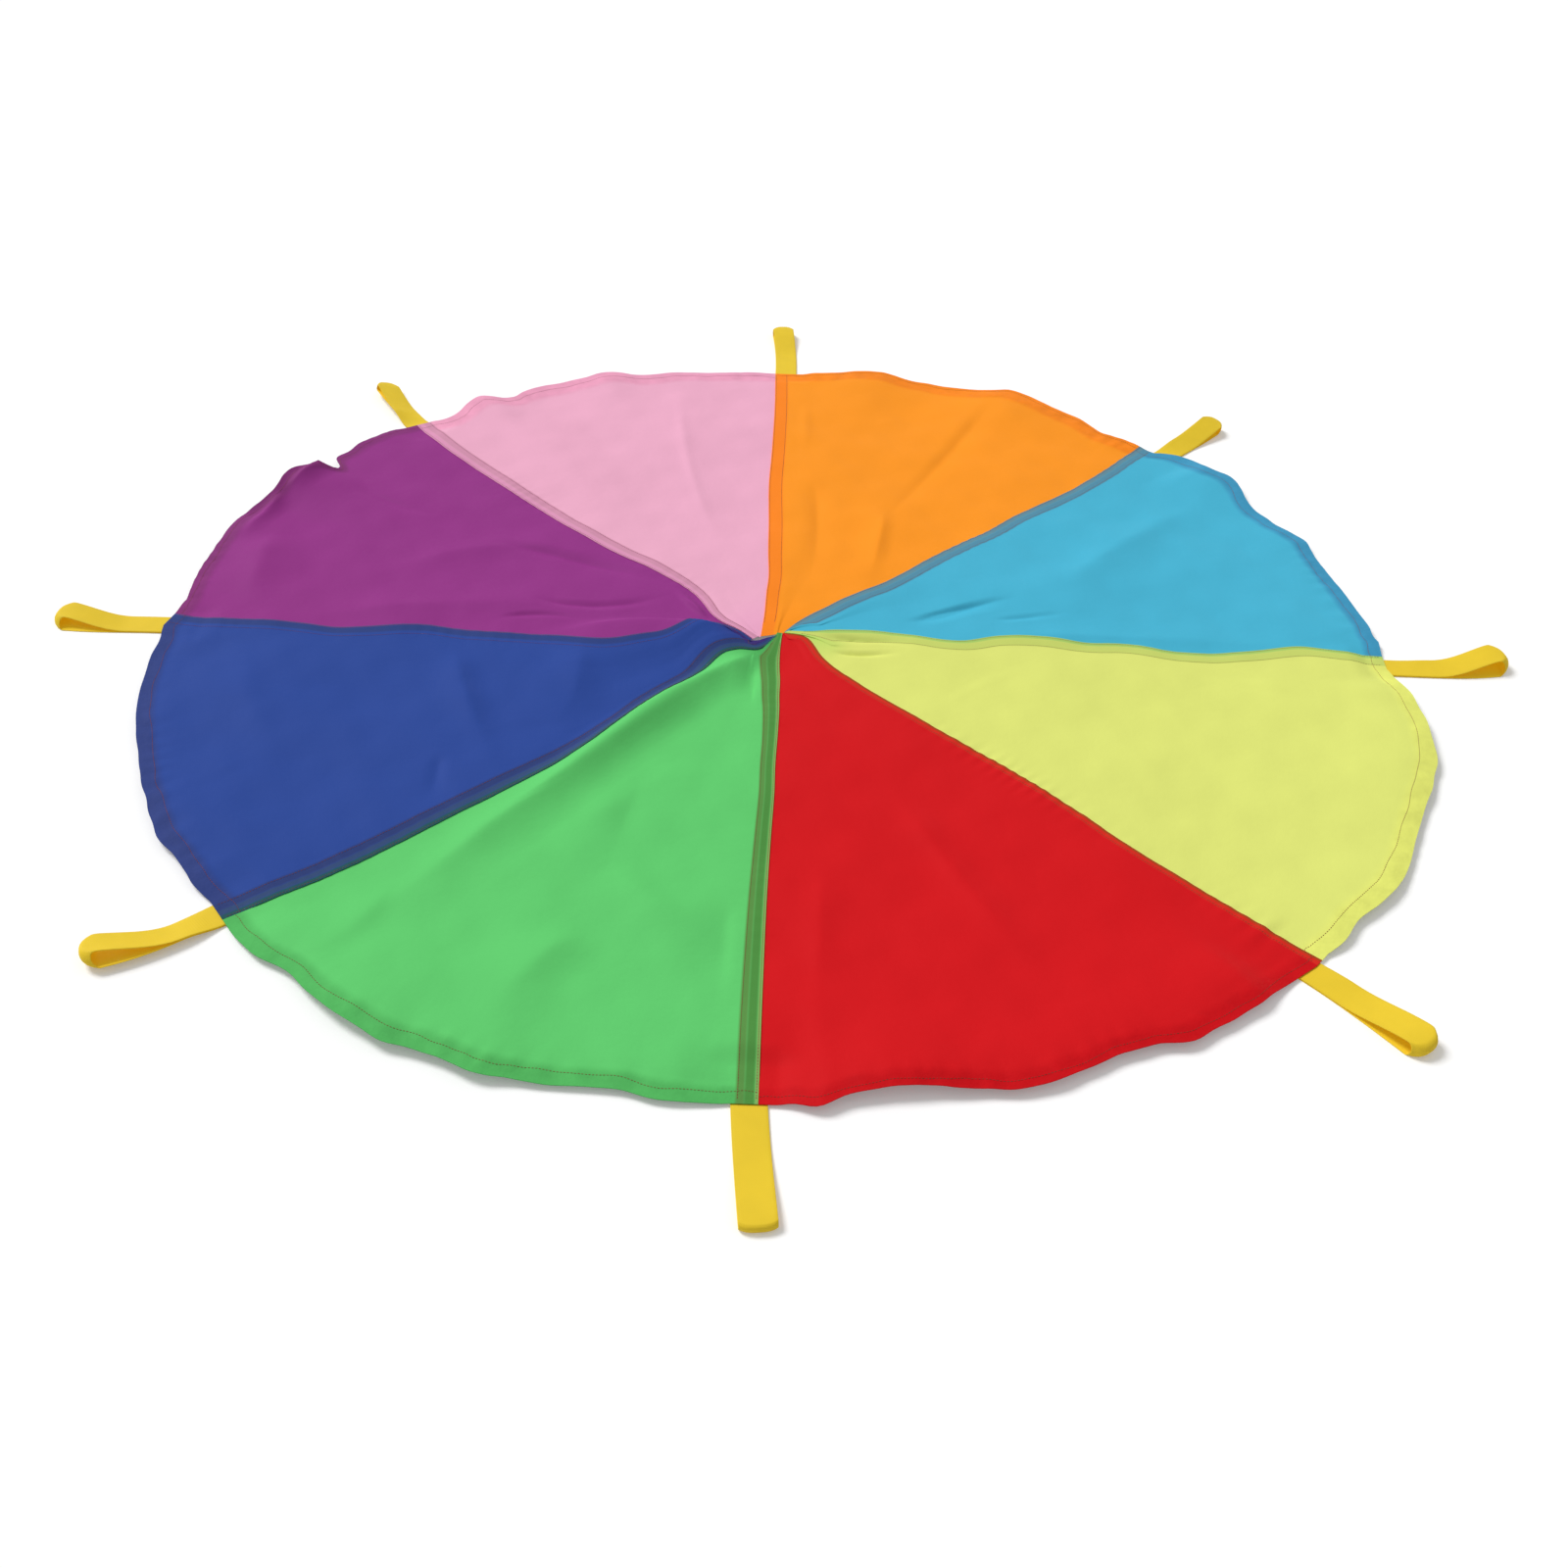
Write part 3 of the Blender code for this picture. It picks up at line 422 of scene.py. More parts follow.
def sewing_marks(plan, share, to_rim):
    """Height that the sewing gives the cloth: short ripples across every seam and along the hem."""
    total = 0
    for seam, (_, _, side, lap, _, _) in enumerate(SEAMS):
        angle = seam * GORE_ANGLE
        along = plan @ outward(angle)
        drift = curve_through(SEAM_WANDER_SHARES[seam], share) * RADIUS
        beside = plan @ sideways(angle) - drift - side * lap / 2
        ripple = np.sin(along * 2 * math.pi / RIPPLE_PITCH + 2.2 * np.sin(along * 31 + seam) + seam)
        inner = smooth((along - 0.06) / 0.10) * (along > 0) * smooth((to_rim - 0.02) / 0.03)
        strength = 0.55 + 0.45 * np.sin(along * 17 + 2 * seam)
        near = inner * np.exp(-(beside / RIPPLE_REACH) ** 2)
        total = total + RIPPLE_HEIGHTS[seam] * strength * ripple * near
    turn = np.arctan2(plan[..., 1], plan[..., 0])
    strength = HEM_RIPPLE_HEIGHT * (0.6 + 0.4 * np.sin(9 * turn)) * off_the_handles(turn)
    ripple = np.sin(turn * RADIUS * 2 * math.pi / HEM_RIPPLE_PITCH + 2.5 * np.sin(23 * turn))
    return total + strength * ripple * np.exp(-((to_rim - HEM_RIPPLE_INSET) / HEM_RIPPLE_REACH) ** 2)


def lie(plan):
    """Height of the lower ply's middle over the floor, as a function of the plan alone, so that
    every layer follows the ones under it. It is the floor level, plus the cloth's lift, which never
    sinks below the floor, flattened and raised over the sewn ends of the hand loops."""
    angle = np.arctan2(plan[..., 1], plan[..., 0])
    reach = np.hypot(plan[..., 0], plan[..., 1])
    share = reach / RADIUS
    inset = np.clip(1 - share, 0, 1)
    to_rim = np.clip(RADIUS * (1 + rim_reach(angle)) - reach, 0, None)
    folds = 0
    for at, middle, heading, length, width, height in FOLD_SHARES:
        away = plan / RADIUS - middle * outward(math.radians(at))
        along = away @ outward(math.radians(heading))
        across = away @ sideways(math.radians(heading))
        folds = folds + height * np.exp(-(along / length) ** 2 - (across / width) ** 2)
    free = BASE_LIFT + folds * RADIUS + rim_lift(angle, inset, to_rim) + crease_height(plan) + crumple(plan)
    lift = (free + np.sqrt(free ** 2 + 0.001 ** 2)) / 2
    flat = 1
    rise = 0
    for seam in range(len(SEAMS)):
        away = plan - handle_centre(seam)
        inner = -(away @ outward(seam * GORE_ANGLE)) - TAIL_LENGTH - LAP_FADE / 3
        beside = np.abs(away @ sideways(seam * GORE_ANGLE)) - WEBBING_WIDTH / 2 - LAP_FADE / 3
        near = 1 - smooth(np.hypot(np.maximum(inner, 0), np.maximum(beside, 0)) / (WEBBING_WIDTH * 0.8))
        rise = np.maximum(rise, near)
        flat = flat * (1 - near)
    tail_level = TAIL_STACK + PLY + CLOTH
    over_tail = rise * (tail_level - FLOOR_LEVEL + PLY)
    return FLOOR_LEVEL + lift * flat + over_tail + sewing_marks(plan, share, to_rim)


def rim_radius(share, angle):
    """Distance from the centre at a share of the way to the rim, with the rim's waves."""
    return share * RADIUS * (1 + rim_reach(angle) * share ** 4)


def seam_line(seam, share):
    """Plan of a seam: near the centre a curve through its own points, farther out a radius that
    drifts sideways by its own shares."""
    angle = np.full_like(share, seam * GORE_ANGLE)
    drift = curve_through(SEAM_WANDER_SHARES[seam], share) * RADIUS
    outer = outward(angle) * rim_radius(share, angle)[:, None] + sideways(angle) * drift[:, None]
    places = np.linspace(0, START_SHARE, len(SEAM_STARTS[seam]))
    inner = np.stack([curve_through([*zip(places, column)], share) for column in zip(*SEAM_STARTS[seam])], -1)
    blend = smooth((share / START_SHARE - 0.6) / 0.4)[:, None]
    return inner + (outer - inner) * blend


def seam_side(seam, share):
    """Unit vector in plan across a seam, to its counter-clockwise side. Near the centre it turns
    towards the line on which the gores' tips end."""
    run = seam_line(seam, np.minimum(share + 0.006, 1)) - seam_line(seam, np.maximum(share - 0.006, 0))
    turn = math.radians(TIP_TURN_DEGREES[seam]) * (1 - smooth(share / 0.08))
    return sideways(np.arctan2(run[:, 1], run[:, 0]) + turn)


def gore_width(gore, share):
    """Distance between a gore's two seams."""
    return np.linalg.norm(seam_line((gore + 1) % len(SEAMS), share) - seam_line(gore, share), axis=-1)


def lap_width(seam, share):
    """Width of a seam's lap: its own, and less where the gore that folds over runs to its tip."""
    _, _, side, width, at_tip, at_rim = SEAMS[seam]
    gore = seam if side > 0 else (seam - 1) % len(SEAMS)
    double = SEAMS[gore][2] > 0 and SEAMS[(gore + 1) % len(SEAMS)][2] < 0
    room = DOUBLE_LAP_ROOM if double else LAP_ROOM
    growth = (at_tip - 1) * (1 - smooth(share / TIP_REACH_SHARE)) + (at_rim - 1) * smooth(2 * share - 0.8)
    return np.minimum(width * (1 + growth), room * gore_width(gore, share))


def beside_seam(seam, share, distance):
    """Plan of a line beside a seam, at a distance to its counter-clockwise side."""
    return seam_line(seam, share) + np.broadcast_to(distance, share.shape)[:, None] * seam_side(seam, share)


def gore_plan(gore, share):
    """Plan grid of a gore, rows from tip to rim and columns from its first seam to its second. The
    outer columns keep to a seam. The ones between run straight across near the centre, and farther
    out they share out the angle at the rim's radius."""
    width = gore_width(gore, share)
    sides = []
    for seam, toward in ((gore, 1), ((gore + 1) % len(SEAMS), -1)):
        scale = lap_width(seam, share)
        if SEAMS[seam][2] != toward:
            scale = np.minimum(scale, LOWER_ROOM * width)
        away = [toward * (SEAM_GAP + column * scale) for column in BAND_COLUMNS]
        sides.append(np.stack([beside_seam(seam, share, distance) for distance in away], 1))
    low, high = sides[0], sides[1][:, ::-1]
    start, end = low[:, -1], high[:, 0]
    part = np.arange(1, INNER_STEPS)[None, :] / INNER_STEPS
    straight = start[:, None] + part[..., None] * (end - start)[:, None]
    start_angle = np.arctan2(start[:, 1], start[:, 0])
    turn = (np.arctan2(end[:, 1], end[:, 0]) - start_angle + math.pi) % (2 * math.pi) - math.pi
    angle = start_angle[:, None] + part * turn[:, None]
    extra = (1 - part) * (np.hypot(*start.T) - rim_radius(share, start_angle))[:, None]
    extra = extra + part * (np.hypot(*end.T) - rim_radius(share, start_angle + turn))[:, None]
    rounded = outward(angle) * (rim_radius(share[:, None], angle) + extra)[..., None]
    inner = straight + (rounded - straight) * smooth(share / 0.3)[:, None, None]
    return np.concatenate([low, inner, high], 1)


def raise_ending(share):
    """1 along a lapped seam, falling to 0 where the hem begins."""
    return 1 - smooth((RADIUS * (share - 1) + HEM + LAP_FADE) / LAP_FADE)


def lap_raise(gore, share):
    """Height that a gore gains where it lies over a neighbour's allowance, by row and column."""
    bands = np.zeros(len(BAND_COLUMNS))
    across = np.concatenate([bands, np.arange(1, INNER_STEPS) / INNER_STEPS, bands + 1])
    profile = np.zeros(len(across))
    if SEAMS[gore][2] > 0:
        profile = np.maximum(profile, 1 - smooth(across / RAISE_FADE_SHARE))
    if SEAMS[(gore + 1) % len(SEAMS)][2] < 0:
        profile = np.maximum(profile, 1 - smooth((1 - across) / RAISE_FADE_SHARE))
    return 2 * PLY * raise_ending(share)[:, None] * profile[None, :]


def make_mesh(name, points, quads, cut, **marks):
    """Mesh from arrays: points, quads as rows of four indices, the cut coordinates in metres as its
    UV map, and any marks as attributes of its points."""
    mesh = bpy.data.meshes.new(name)
    mesh.vertices.add(len(points))
    mesh.vertices.foreach_set("co", points.astype(np.float32).ravel())
    mesh.loops.add(quads.size)
    mesh.loops.foreach_set("vertex_index", quads.astype(np.int32).ravel())
    mesh.polygons.add(len(quads))
    mesh.polygons.foreach_set("loop_start", np.arange(0, quads.size, 4, dtype=np.int32))
    mesh.update(calc_edges=True)
    layer = mesh.uv_layers.new(name="cut")
    layer.data.foreach_set("uv", cut[quads.ravel()].astype(np.float32).ravel())
    for mark, values in marks.items():
        attribute = mesh.attributes.new(mark, "FLOAT", "POINT")
        attribute.data.foreach_set("value", values.astype(np.float32))
    mesh.shade_smooth()
    mesh.set_sharp_from_angle(angle=math.radians(50))
    piece = bpy.data.objects.new(name, mesh)
    bpy.context.scene.collection.objects.link(piece)
    return piece


class Ply:
    """Middle surface of a cut piece of cloth, gathered patch by patch and then thickened."""

    def __init__(self):
        self.points, self.offsets, self.marks, self.quads = [], [], [], []

    def patch(self, points, offsets, *marks):
        """Add a grid of points with their half-thickness vectors and marks, and return its indices."""
        first = sum(len(block) for block in self.points)
        rows, columns = points.shape[:2]
        self.points.append(points.reshape(-1, 3))
        self.offsets.append(offsets.reshape(-1, 3))
        spread = [np.broadcast_to(mark, (rows, columns)) for mark in marks]
        self.marks.append(np.stack(spread, -1).reshape(-1, len(marks)))
        return first + np.arange(rows * columns).reshape(rows, columns)

    def join(self, grid, turned_under=False):
        """Face the quads of an index grid whose columns run counter-clockwise in plan."""
        quads = np.stack([grid[:-1, :-1], grid[1:, :-1], grid[1:, 1:], grid[:-1, 1:]], -1).reshape(-1, 4)
        self.quads.append(quads[:, ::-1] if turned_under else quads)

    def closed(self):
        """Points, quads and marks of the two faces and of a wall along every open edge."""
        points, offsets, marks = (np.concatenate(block) for block in (self.points, self.offsets, self.marks))
        outer = np.concatenate(self.quads)
        count = len(points)
        edges = np.concatenate([outer[:, [i, (i + 1) % 4]] for i in range(4)])
        keys = edges[:, 0] * count + edges[:, 1]
        back = edges[:, 1] * count + edges[:, 0]
        a, b = edges[~np.isin(keys, back)].T
        walls = np.stack([b, a, a + count, b + count], 1)
        quads = np.concatenate([outer, outer[:, ::-1] + count, walls])
        return np.concatenate([points + offsets, points - offsets]), quads, np.concatenate([marks, marks])


def gore_mesh(gore, name):
    """One gore: the face of the cloth, its turned-under hem, its folded edges and its flat ones."""
    rim_shares = 1 - np.array(RIM_ROWS) / RADIUS
    share = np.concatenate([np.linspace(TIP / RADIUS, rim_shares[0], MAIN_ROWS)[:-1], rim_shares])
    hem_row = MAIN_ROWS - 1 + HEM_ROW
    plan = gore_plan(gore, share)
    level = lie(plan) + lap_raise(gore, share)
    up = np.zeros((*level.shape, 3))
    up[..., 2] = CLOTH / 2
    out = np.concatenate([plan[-1], np.zeros((plan.shape[1], 1))], -1)
    up[-1] += out / np.linalg.norm(out, axis=-1, keepdims=True) * CLOTH / 2

    seams = (gore, (gore + 1) % len(SEAMS))
    folded = (SEAMS[seams[0]][2] > 0, SEAMS[seams[1]][2] < 0)
    laps = slice(1, hem_row - 1)
    for side in (0, -1):
        if folded[side]:
            toward = -1 if side == 0 else 1
            up[laps, side, :2] += toward * seam_side(seams[side], share[laps]) * CLOTH / 2

    count = len(BAND_COLUMNS)
    from_seam = np.array(BAND_COLUMNS)
    far = np.full(level.shape[1] - count, from_seam[-1])
    lap_marks = [
        np.concatenate([from_seam, far]) if folded[0] else np.full(level.shape[1], from_seam[-1]),
        np.concatenate([far, from_seam[::-1]]) if folded[1] else np.full(level.shape[1], from_seam[-1]),
    ]
    to_rim = ((1 - share) * RADIUS)[:, None]

    ply = Ply()
    face = ply.patch(np.dstack([plan, level]), up, to_rim, *lap_marks)
    ply.join(face)
    under = up[hem_row:] * [1, 1, -1]
    turned = ply.patch(np.dstack([plan, level - PLY])[hem_row:], under, to_rim[hem_row:], *lap_marks)
    ply.join(np.stack([turned[-1], face[-1]]), turned_under=True)
    ply.join(turned, turned_under=True)

    for side, seam in zip((0, -1), seams):
        if folded[side]:
            band = slice(0, LAP_COLUMN + 1) if side == 0 else slice(-LAP_COLUMN - 1, None)
            offsets = -up[laps, band] * [-1, -1, 1]
            marks = [mark[band] for mark in lap_marks]
            flap = ply.patch(np.dstack([plan, level - PLY])[laps, band], offsets, to_rim[laps], *marks)
            fold = np.stack([face[laps, side], flap[:, side]], 1)
            ply.join(fold if side == 0 else fold[:, ::-1], turned_under=True)
            ply.join(flap, turned_under=True)
        else:
            beyond = 1 if side == -1 else -1
            scale = beyond * lap_width(seam, share[laps])
            columns = BAND_COLUMNS[1:LAP_COLUMN + 1]
            strips = [beside_seam(seam, share[laps], column * scale) for column in columns]
            strip = np.stack(strips if side == -1 else strips[::-1], 1)
            offsets = np.zeros((*strip.shape[:2], 3))
            offsets[..., 2] = CLOTH / 2
            unmarked = (from_seam[-1], from_seam[-1])
            flap = ply.patch(np.dstack([strip, lie(strip)]), offsets, to_rim[laps], *unmarked)
            edge = face[laps, side][:, None]
            ply.join(np.concatenate([edge, flap] if side == -1 else [flap, edge], 1))

    points, quads, marks = ply.closed()
    middle = (gore + 0.5) * GORE_ANGLE
    cut = np.stack([points[:, :2] @ sideways(middle), points[:, :2] @ outward(middle)], -1)
    from_rim, first, second = marks.T
    return make_mesh(name, points, quads, cut, to_rim=from_rim, first_lap=first, second_lap=second)


GLOSS = 0.005


class Wire:
    """One socket of a material's nodes. Arithmetic on wires and numbers adds Math nodes."""

    def __init__(self, tree, socket=None):
        self.tree, self.socket = tree, socket

    def node(self, kind, settings, inputs, output=0):
        """Add a node of a kind, apply its settings first, then fill its sockets."""
        made = self.tree.nodes.new(kind)
        for name, value in settings.items():
            setattr(made, name, value)
        for key, value in inputs.items():
            if isinstance(value, Wire):
                self.tree.links.new(value.socket, made.inputs[key])
            else:
                made.inputs[key].default_value = value
        return Wire(self.tree, made.outputs[output])

    def math(self, operation, *values):
        """Math node on the given values, or on the wire alone where none are given."""
        return self.node("ShaderNodeMath", {"operation": operation}, dict(enumerate(values or (self,))))

    def __add__(self, other):
        return self.math("ADD", self, other)

    def __sub__(self, other):
        return self.math("SUBTRACT", self, other)

    def __rsub__(self, other):
        return self.math("SUBTRACT", other, self)

    def __mul__(self, other):
        return self.math("MULTIPLY", self, other)

    __radd__, __rmul__ = __add__, __mul__

    def fade(self, start, end):
        """0 up to start, 1 from end on, with a smooth rise between them."""
        settings = {"interpolation_type": "SMOOTHSTEP"}
        return self.node("ShaderNodeMapRange", settings, {0: self, 1: start, 2: end})

    def mix(self, without, with_all):
        """Colour that goes from the first to the second as the wire goes from 0 to 1."""
        return self.node("ShaderNodeMix", {"data_type": "RGBA"}, {0: self, 6: without, 7: with_all}, 2)

    def shade(self, colour):
        """Colour scaled by the wire."""
        return self.node("ShaderNodeVectorMath", {"operation": "SCALE"}, {0: colour, 3: self})

    def noise(self, scale, detail, **more):
        """Flat noise at the place that the wire gives."""
        inputs = {"Vector": self, "Scale": scale, "Detail": detail, **more}
        return self.node("ShaderNodeTexNoise", {"noise_dimensions": "2D"}, inputs)


def screen(red, green, blue):
    """Linear colour with alpha from the 0 to 255 values that a screen shows, less the white that
    the surface's faint gloss adds to every channel."""
    value = np.array([red, green, blue]) / 255
    linear = np.where(value <= 0.04045, value / 12.92, ((value + 0.055) / 1.055) ** 2.4)
    return (*np.clip(linear - GLOSS, 0.001, 1).tolist(), 1)


STRIPE_BLUR = 0.08


def new_material(name, roughness, specular, sheen):
    """A Principled material's shader, its tree's root wire, and the settings that never vary."""
    material = bpy.data.materials.new(name)
    material.use_nodes = True
    shader = material.node_tree.nodes["Principled BSDF"]
    shader.inputs["Roughness"].default_value = roughness
    shader.inputs["Specular IOR Level"].default_value = specular
    shader.inputs["Sheen Weight"].default_value = sheen
    return material, shader, Wire(material.node_tree)


# Distances from the rim over which the tip colour, partly painted shade, takes over
TIP_SHADE_FROM = 0.655
TIP_SHADE_TO = 0.735


def taffeta(name, cloth, doubled, fade_from, fade_to, tip, first_lap, second_lap):
    """Smooth plain weave: slubs along the weft, a soft unevenness, and doubled cloth of other shades
    along the hem and in stripes across the laps. Painted shade darkens the tips, a few lap stripes are
    painted highlight or painted shadow along the folds, and painted light and shade of small wrinkles
    mottles the hem."""
    material, shader, root = new_material(name, 0.62, 0.06, 0.0)
    cut = root.node("ShaderNodeUVMap", {"uv_map": "cut"}, {})
    marks = [
        root.node("ShaderNodeAttribute", {"attribute_name": mark}, {}, 2)
        for mark in ("to_rim", "first_lap", "second_lap")
    ]
    stretched = root.node("ShaderNodeVectorMath", {"operation": "MULTIPLY"}, {0: cut, 1: (90, 1500, 1)})
    slub = stretched.noise(1.0, 2.0)
    cloud = cut.noise(9.0, 3.0)
    crinkle = cut.noise(38.0, 4.0, Roughness=0.6)

    hem = 1 - marks[0].fade(fade_from, fade_to)
    colour = hem.mix(screen(*cloth), screen(*doubled))
    # Painted shade near the centre: the tip colour, darker for several gores, takes over towards the tip
    colour = marks[0].fade(TIP_SHADE_FROM, TIP_SHADE_TO).mix(colour, screen(*tip))
    for mark, stripes in zip(marks[1:], (first_lap, second_lap)):
        for start, end, band in stripes:
            stripe = 1 - mark.fade(end - STRIPE_BLUR, end + STRIPE_BLUR)
            if start > 0:
                stripe = stripe * mark.fade(start - STRIPE_BLUR, start + STRIPE_BLUR)
            colour = stripe.mix(colour, screen(*band))
    # Slub and cloud are random tone of the cloth; the hem's crinkle term is painted light and shade of small
    # wrinkles along the hem, on top of their bump
    tone = 0.955 + 0.05 * slub + 0.04 * cloud + hem * (crinkle - 0.5) * 0.30
    root.tree.links.new(tone.shade(colour).socket, shader.inputs["Base Color"])

    rough = 0.56 + 0.10 * cloud
    root.tree.links.new(rough.socket, shader.inputs["Roughness"])
    weave = root.node("ShaderNodeVectorMath", {"operation": "MULTIPLY"}, {0: cut, 1: (9000, 9000, 1)})
    across = root.node("ShaderNodeSeparateXYZ", {}, {0: weave}, 0).math("SINE")
    along = root.node("ShaderNodeSeparateXYZ", {}, {0: weave}, 1).math("SINE")
    relief = crinkle * (0.0009 + 0.0012 * hem) + slub * 0.00006 + across * along * 0.00001
    bump = root.node("ShaderNodeBump", {}, {"Strength": 0.55, "Distance": 1.0, "Height": relief})
    root.tree.links.new(bump.socket, shader.inputs["Normal"])
    return material


for index, (colour_name, cloth, doubled, fade_from, fade_to, _, tip) in enumerate(GORES):
    following = (index + 1) % len(SEAMS)
    first_lap = LAP_STRIPES[index] if SEAMS[index][2] > 0 else ()
    second_lap = LAP_STRIPES[following] if SEAMS[following][2] < 0 else ()
    sheet = gore_mesh(index, f"gore_{colour_name}")
    colours = (cloth, doubled, fade_from, fade_to, tip, first_lap, second_lap)
    sheet.data.materials.append(taffeta(f"{colour_name} taffeta", *colours))
    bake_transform(sheet)
    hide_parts(f"panel_{colour_name}")

# Stitching: rows of reddish brown polyester lockstitch, one along the hem of every gore and two
# along each lapped seam, near the fold and near the raw edge under it. Every stitch is a short
# thread that rises out of the cloth and goes down into it again.
STITCH_PITCH = 0.0032
STITCH_LENGTH = 0.0027
THREAD = 0.0007
STITCH_STRAY = 0.0020
STITCH_POINTS = 14
SEAM_ROWS = (0.09, 0.90)


def stitch_row(path):
    """Stitches along a polyline: a spindle of three square rings and two points, set out at even
    steps of the path's length and turned along it."""
    step = np.linalg.norm(np.diff(path, axis=0), axis=1)
    length = np.concatenate([[0], np.cumsum(step)])
    marks = np.arange(0, length[-1] - STITCH_PITCH, STITCH_PITCH)
    tail = np.stack([np.interp(marks, length, axis) for axis in path.T], -1)
    head = np.stack([np.interp(marks + STITCH_PITCH, length, axis) for axis in path.T], -1)
    along = (head - tail) / np.linalg.norm(head - tail, axis=1, keepdims=True)
    side = np.cross([0, 0, 1], along)
    side = side / np.linalg.norm(side, axis=1, keepdims=True)
    up = np.cross(along, side)
    rings = [(-0.5, 0, -0.9)]
    for at, size, height in ((-0.32, 0.8, 0.2), (0, 1, 0.45), (0.32, 0.8, 0.2)):
        tall = 0.7 * size
        rings += [(at, -size, height), (at, 0, height + tall), (at, size, height), (at, 0, height - tall)]
    rings.append((0.5, 0, -0.9))
    shape = np.array(rings) * [STITCH_LENGTH, THREAD / 2, THREAD / 2]
    points = (head + tail)[:, None] / 2 + shape[None, :, :1] * along[:, None]
    points = points + shape[None, :, 1:2] * side[:, None] + shape[None, :, 2:] * up[:, None]
    return points.reshape(-1, 3)


def stitch_faces(count):
    """Triangles of the given number of stitches: their pointed ends and the sides between rings."""
    faces = []
    last_ring, tip = 9, STITCH_POINTS - 1
    for i in range(4):
        j = (i + 1) % 4
        faces.append((0, 1 + j, 1 + i))
        faces.append((tip, last_ring + i, last_ring + j))
        for ring in (1, 5):
            faces.append((ring + i, ring + j, ring + 4 + j))
            faces.append((ring + i, ring + 4 + j, ring + 4 + i))
    block = np.array(faces)
    return (block[None] + STITCH_POINTS * np.arange(count)[:, None, None]).reshape(-1, 3)


def triangle_piece(name, points, triangles):
    """Smooth object from arrays of points and triangles."""
    mesh = bpy.data.meshes.new(name)
    mesh.vertices.add(len(points))
    mesh.vertices.foreach_set("co", points.astype(np.float32).ravel())
    mesh.loops.add(triangles.size)
    mesh.loops.foreach_set("vertex_index", triangles.astype(np.int32).ravel())
    mesh.polygons.add(len(triangles))
    mesh.polygons.foreach_set("loop_start", np.arange(0, triangles.size, 3, dtype=np.int32))
    mesh.update(calc_edges=True)
    mesh.shade_smooth()
    piece = bpy.data.objects.new(name, mesh)
    bpy.context.scene.collection.objects.link(piece)
    return piece


def stitch_paths(gore):
    """Lines of stitches that lie on a gore: one along its hem, which strays a little to both sides,
    and two along each folded edge, at shares of the lap's width."""
    from_rim = GORES[gore][5]
    near, far = (
        gore_plan(gore, np.array([1 - (from_rim + stray) / RADIUS]))[0]
        for stray in (-STITCH_STRAY, STITCH_STRAY)
    )
    place = np.linspace(0, 1, len(near))
    between = 0.5 + 0.3 * np.sin(23 * place + gore) + 0.2 * np.sin(61 * place)
    plan = near + (far - near) * between[:, None]
    paths = [np.column_stack([plan, lie(plan) + CLOTH / 2])]
    share = np.linspace(0.03, 1 - 0.003 / RADIUS, 400)
    for seam, toward in ((gore, 1), ((gore + 1) % len(SEAMS), -1)):
        if SEAMS[seam][2] == toward:
            for part in SEAM_ROWS:
                plan = beside_seam(seam, share, toward * part * lap_width(seam, share))
                level = lie(plan) + 2 * PLY * raise_ending(share)
                paths.append(np.column_stack([plan, level + CLOTH / 2]))
    return paths


thread, thread_shader, thread_root = new_material("brown thread", 0.55, 0.2, 0.0)
place = thread_root.node("ShaderNodeTexCoord", {}, {}, 3)
fuzz = thread_root.node("ShaderNodeTexNoise", {}, {"Vector": place, "Scale": 900.0, "Detail": 2.0})
thread_colour = (0.8 + 0.4 * fuzz).shade(screen(128, 62, 50)[:3])
thread_root.tree.links.new(thread_colour.socket, thread_shader.inputs["Base Color"])

for index, (colour_name, *_) in enumerate(GORES):
    rows = np.concatenate([stitch_row(path) for path in stitch_paths(index)])
    seam_thread = triangle_piece(f"stitches_{colour_name}", rows, stitch_faces(len(rows) // STITCH_POINTS))
    seam_thread.data.materials.append(thread)
    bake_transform(seam_thread)

# Hand loops: each is one strip of yellow woven webbing, folded in half. Its two cut ends lie on
# each other under the hem, where the hem's stitching holds them, and the fold stands open outside
# the rim as a flat loop with a rounded end.
WEBBING = 0.001
WEBBING_GAP = 0.0003
HANDLE_LENGTH = 0.135
FLEX_REACH = 0.008
LOOP_FLAT_SHARE = 0.35
CORNER_REACH = 0.018
HANDLE_LENGTH_SHARES = (1.00, 1.05, 1.10, 0.97, 1.00, 0.96, 1.04, 1.06)
HANDLE_LEAN_SHARES = (0.12, 0.05, 0.06, -0.23, -0.03, -0.21, 0.09, -0.09)
HANDLE_BENDS = (2, 2, 2, 1.2, 2, 2, 1.2, 2)
HANDLE_ROLL_DEGREES = (4, 12, 0, 16, 0, 12, 0, 5)
HANDLE_SKEWS = (0.011, 0, 0, 0, -0.011, -0.010, 0, 0.004)
HANDLE_BIGHTS = (0.017, 0.014, 0.013, 0.009, 0.013, 0.013, 0.009, 0.014)
HANDLE_CORNERS = (0.010, 0.014, 0.011, 0.014, 0.010, 0.010, 0.004, 0.010)
ROLL_SHARE = 0.35
SKEW_SHARE = 0.8
TAIL_STATIONS = 10
PLY_STATIONS = 60
BIGHT_STATIONS = 28
STRIP_PROFILE = 9


